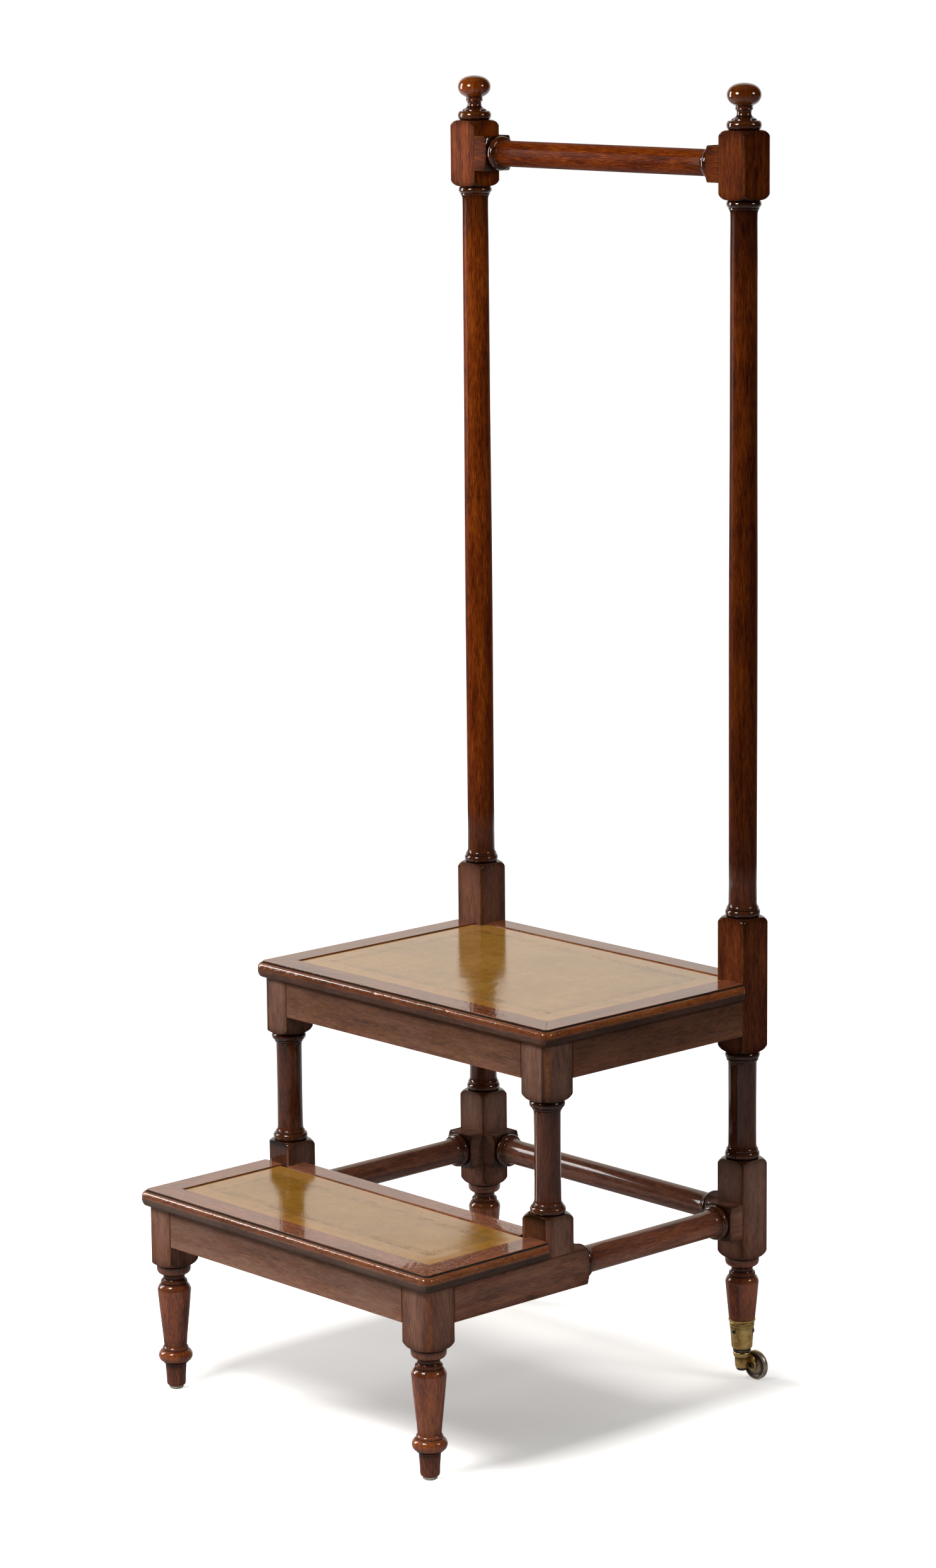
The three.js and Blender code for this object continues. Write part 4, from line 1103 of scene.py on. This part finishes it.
def castor(hand, x):
    foot = (x, REAR_Y, 0)
    horn_body = f"castor_horn_{hand}"
    shell(f"castor_cup_{hand}_brass", CUP, foot, BRASS, f"castor_cup_{hand}", sharp=28)
    (x0, x1), (y0, y1), levels = SLOT
    slot = [[(x0, y0, z), (x1, y0, z), (x1, y1, z), (x0, y1, z)] for z in levels]
    for i in range(3):
        name = f"castor_screw_{hand}_{i + 1}"
        screw = shell(f"{name}_head", SCREW, (0, 0, 0), STEEL, name, "x", count=32)
        fused(screw, "DIFFERENCE", slot)
        angle = pi * (2 * i / 3 + 1 / 6)
        spin = Matrix.Rotation(radians(25 + 70 * i), 4, "X")
        place = Vector(on_ring("z", foot, SCREW_HEIGHT, SCREW_REACH, angle)) * MM
        screw.data.transform(Matrix.Translation(place) @ Matrix.Rotation(angle, 4, "Z") @ spin)
    shell(f"castor_washer_{hand}_dark", WASHER, foot, STEEL, f"castor_washer_{hand}")
    shell(f"castor_pin_{hand}_dark", PIN, foot, STEEL, f"castor_pin_{hand}", count=48)

    horn = shell(f"castor_horn_{hand}_brass", BOSS, foot, BRASS, f"castor_horn_{hand}", body=horn_body)
    fused(horn, "UNION", arm_rings(x, REAR_Y))
    hub = (x + TRAIL, REAR_Y + OFFSET, WHEEL_RADIUS)
    # The horn stays clear of the wheel and of its axle
    fused(horn, "DIFFERENCE", lathe([(-3.75, 17.7), (20, 17.7)], hub, "y", 48),
          lathe([(-20, 2.6), (4, 2.6)], hub, "y", 32))
    eased(horn, 0.45)
    name = f"castor_wheel_{hand}"
    shell(f"{name}_brass", WHEEL, hub, BRONZE, name, "y", name, count=72)
    name = f"castor_axle_{hand}"
    shell(f"{name}_rivet", RIVET, hub, STEEL, name, "y", horn_body, count=40)


for hand, side in HANDS.items():
    castor(hand, side * HALF)
    shell(f"front_glide_{hand}_dome", GLIDE, (side * HALF, FRONT_Y, 0), NICKEL, f"front_glide_{hand}")

# The hidden panels and glue blocks keep their solids, with the wood's own material
for name, node in frame["nodes"].items():
    if name.endswith("_panel") or "_glue_block_" in name:
        node.data.materials.clear()
        node.data.materials.append(WOOD_INSIDE)


# Floor, backdrop light and lamps. The studio is white behind the object and dark in front of it.
AWAY = (-0.736, 0.677, 0.0)
FLOOR_HALF = 12000
# The ground under the steps, in metres
SHADOW_CENTRE = (0, 0.05, 0)
SHADOW_HALF = (0.24, 0.19, 0)


def facing_away(n, direction):
    return n.vector("DOT_PRODUCT", n.vector("NORMALIZE", direction), AWAY, "Value")


def floor():
    made, n = material("floor")
    path = n.add("ShaderNodeLightPath")
    seen, mirrored = path.outputs["Is Camera Ray"], path.outputs["Is Glossy Ray"]
    direct = n.math("MAXIMUM", seen, path.outputs["Is Transmission Ray"])
    place = n.place()
    away = n.vector("LENGTH", place, result="Value")
    # The floor glows for camera rays, faintly on the ground under the steps and fully clear of it, where the
    # paper turns to plain white: a painted glow that lightens the shadow under the steps and wipes it out
    # beyond them
    aside = n.vector("ABSOLUTE", n.vector("SUBTRACT", place, SHADOW_CENTRE))
    aside = n.vector("MAXIMUM", n.vector("SUBTRACT", aside, SHADOW_HALF))
    pale_painted_glow = n.range(n.vector("LENGTH", aside, result="Value"), 0.0, 0.14, 0.225, 1.0)
    behind = n.product(n.range(facing_away(n, place), 0.45, 0.75, 0.0, 0.8), n.range(away, 0.4, 1.0, 0, 1))
    strength = n.math("MAXIMUM", n.product(mirrored, behind), n.product(direct, pale_painted_glow))
    paper = n.mix(seen, grey(0.42), (1.0, 0.972, 0.93, 1))
    diffuse = n.add("ShaderNodeBsdfDiffuse", {"Color": paper})
    glow = n.add("ShaderNodeEmission", {"Color": grey(1.0), "Strength": strength})
    both = n.add("ShaderNodeAddShader", {0: diffuse.outputs[0], 1: glow.outputs[0]})
    n.add("ShaderNodeOutputMaterial", {0: both.outputs[0]})
    corners = [(x * FLOOR_HALF, y * FLOOR_HALF, 0) for x, y in ((-1, -1), (1, -1), (1, 1), (-1, 1))]
    mesh = mesh_from("floor", corners, [(0, 1, 2, 3)])
    mesh.materials.append(made)
    placed("floor", mesh)


def world():
    made = bpy.data.worlds.new("studio")
    bpy.context.scene.world = made
    made.use_nodes = True
    n = Nodes(made.node_tree)
    path = n.add("ShaderNodeLightPath")
    plain = n.math("MAXIMUM", path.outputs["Is Camera Ray"], path.outputs["Is Transmission Ray"])
    facing = facing_away(n, n.add("ShaderNodeTexCoord").outputs["Generated"])
    backdrop = n.range(facing, 0.62, 0.78, 0.0, 1.0)
    backdrop = n.mix(backdrop, grey(0.02), (1.0, 0.945, 0.86, 1))
    room = n.mix(path.outputs["Is Glossy Ray"], grey(0.25), backdrop)
    colour = n.mix(plain, room, grey(1.0))
    shade = n.add("ShaderNodeBackground", {"Color": colour, "Strength": 1.0})
    n.add("ShaderNodeOutputWorld", {0: shade.outputs[0]})


def lamp(name, place, target, size, glow):
    """A soft box of one brightness all over its face."""
    data = bpy.data.lights.new(name, "AREA")
    data.shape = "ELLIPSE" if size[0] == size[1] else "RECTANGLE"
    data.size, data.size_y = size
    area = size[0] * size[1] * (pi / 4 if data.shape == "ELLIPSE" else 1)
    data.energy = glow * pi * area
    item = placed(name, data)
    item.location = place
    item.rotation_euler = (Vector(target) - Vector(place)).to_track_quat("-Z", "Y").to_euler()
    item.visible_camera = False


floor()
world()
lamp("key", (0.01, -1.63, 2.08), (0, 0, 0.55), (0.72, 0.72), 27)
lamp("right", (2.8, 1.25, 2.26), (0, 0, 0.8), (0.8, 0.8), 12)
lamp("left", (-2.78, -1.35, 1.75), (0, -0.3, 1.7), (0.9, 2.2), 11)
bpy.context.scene.view_settings.view_transform = "Standard"
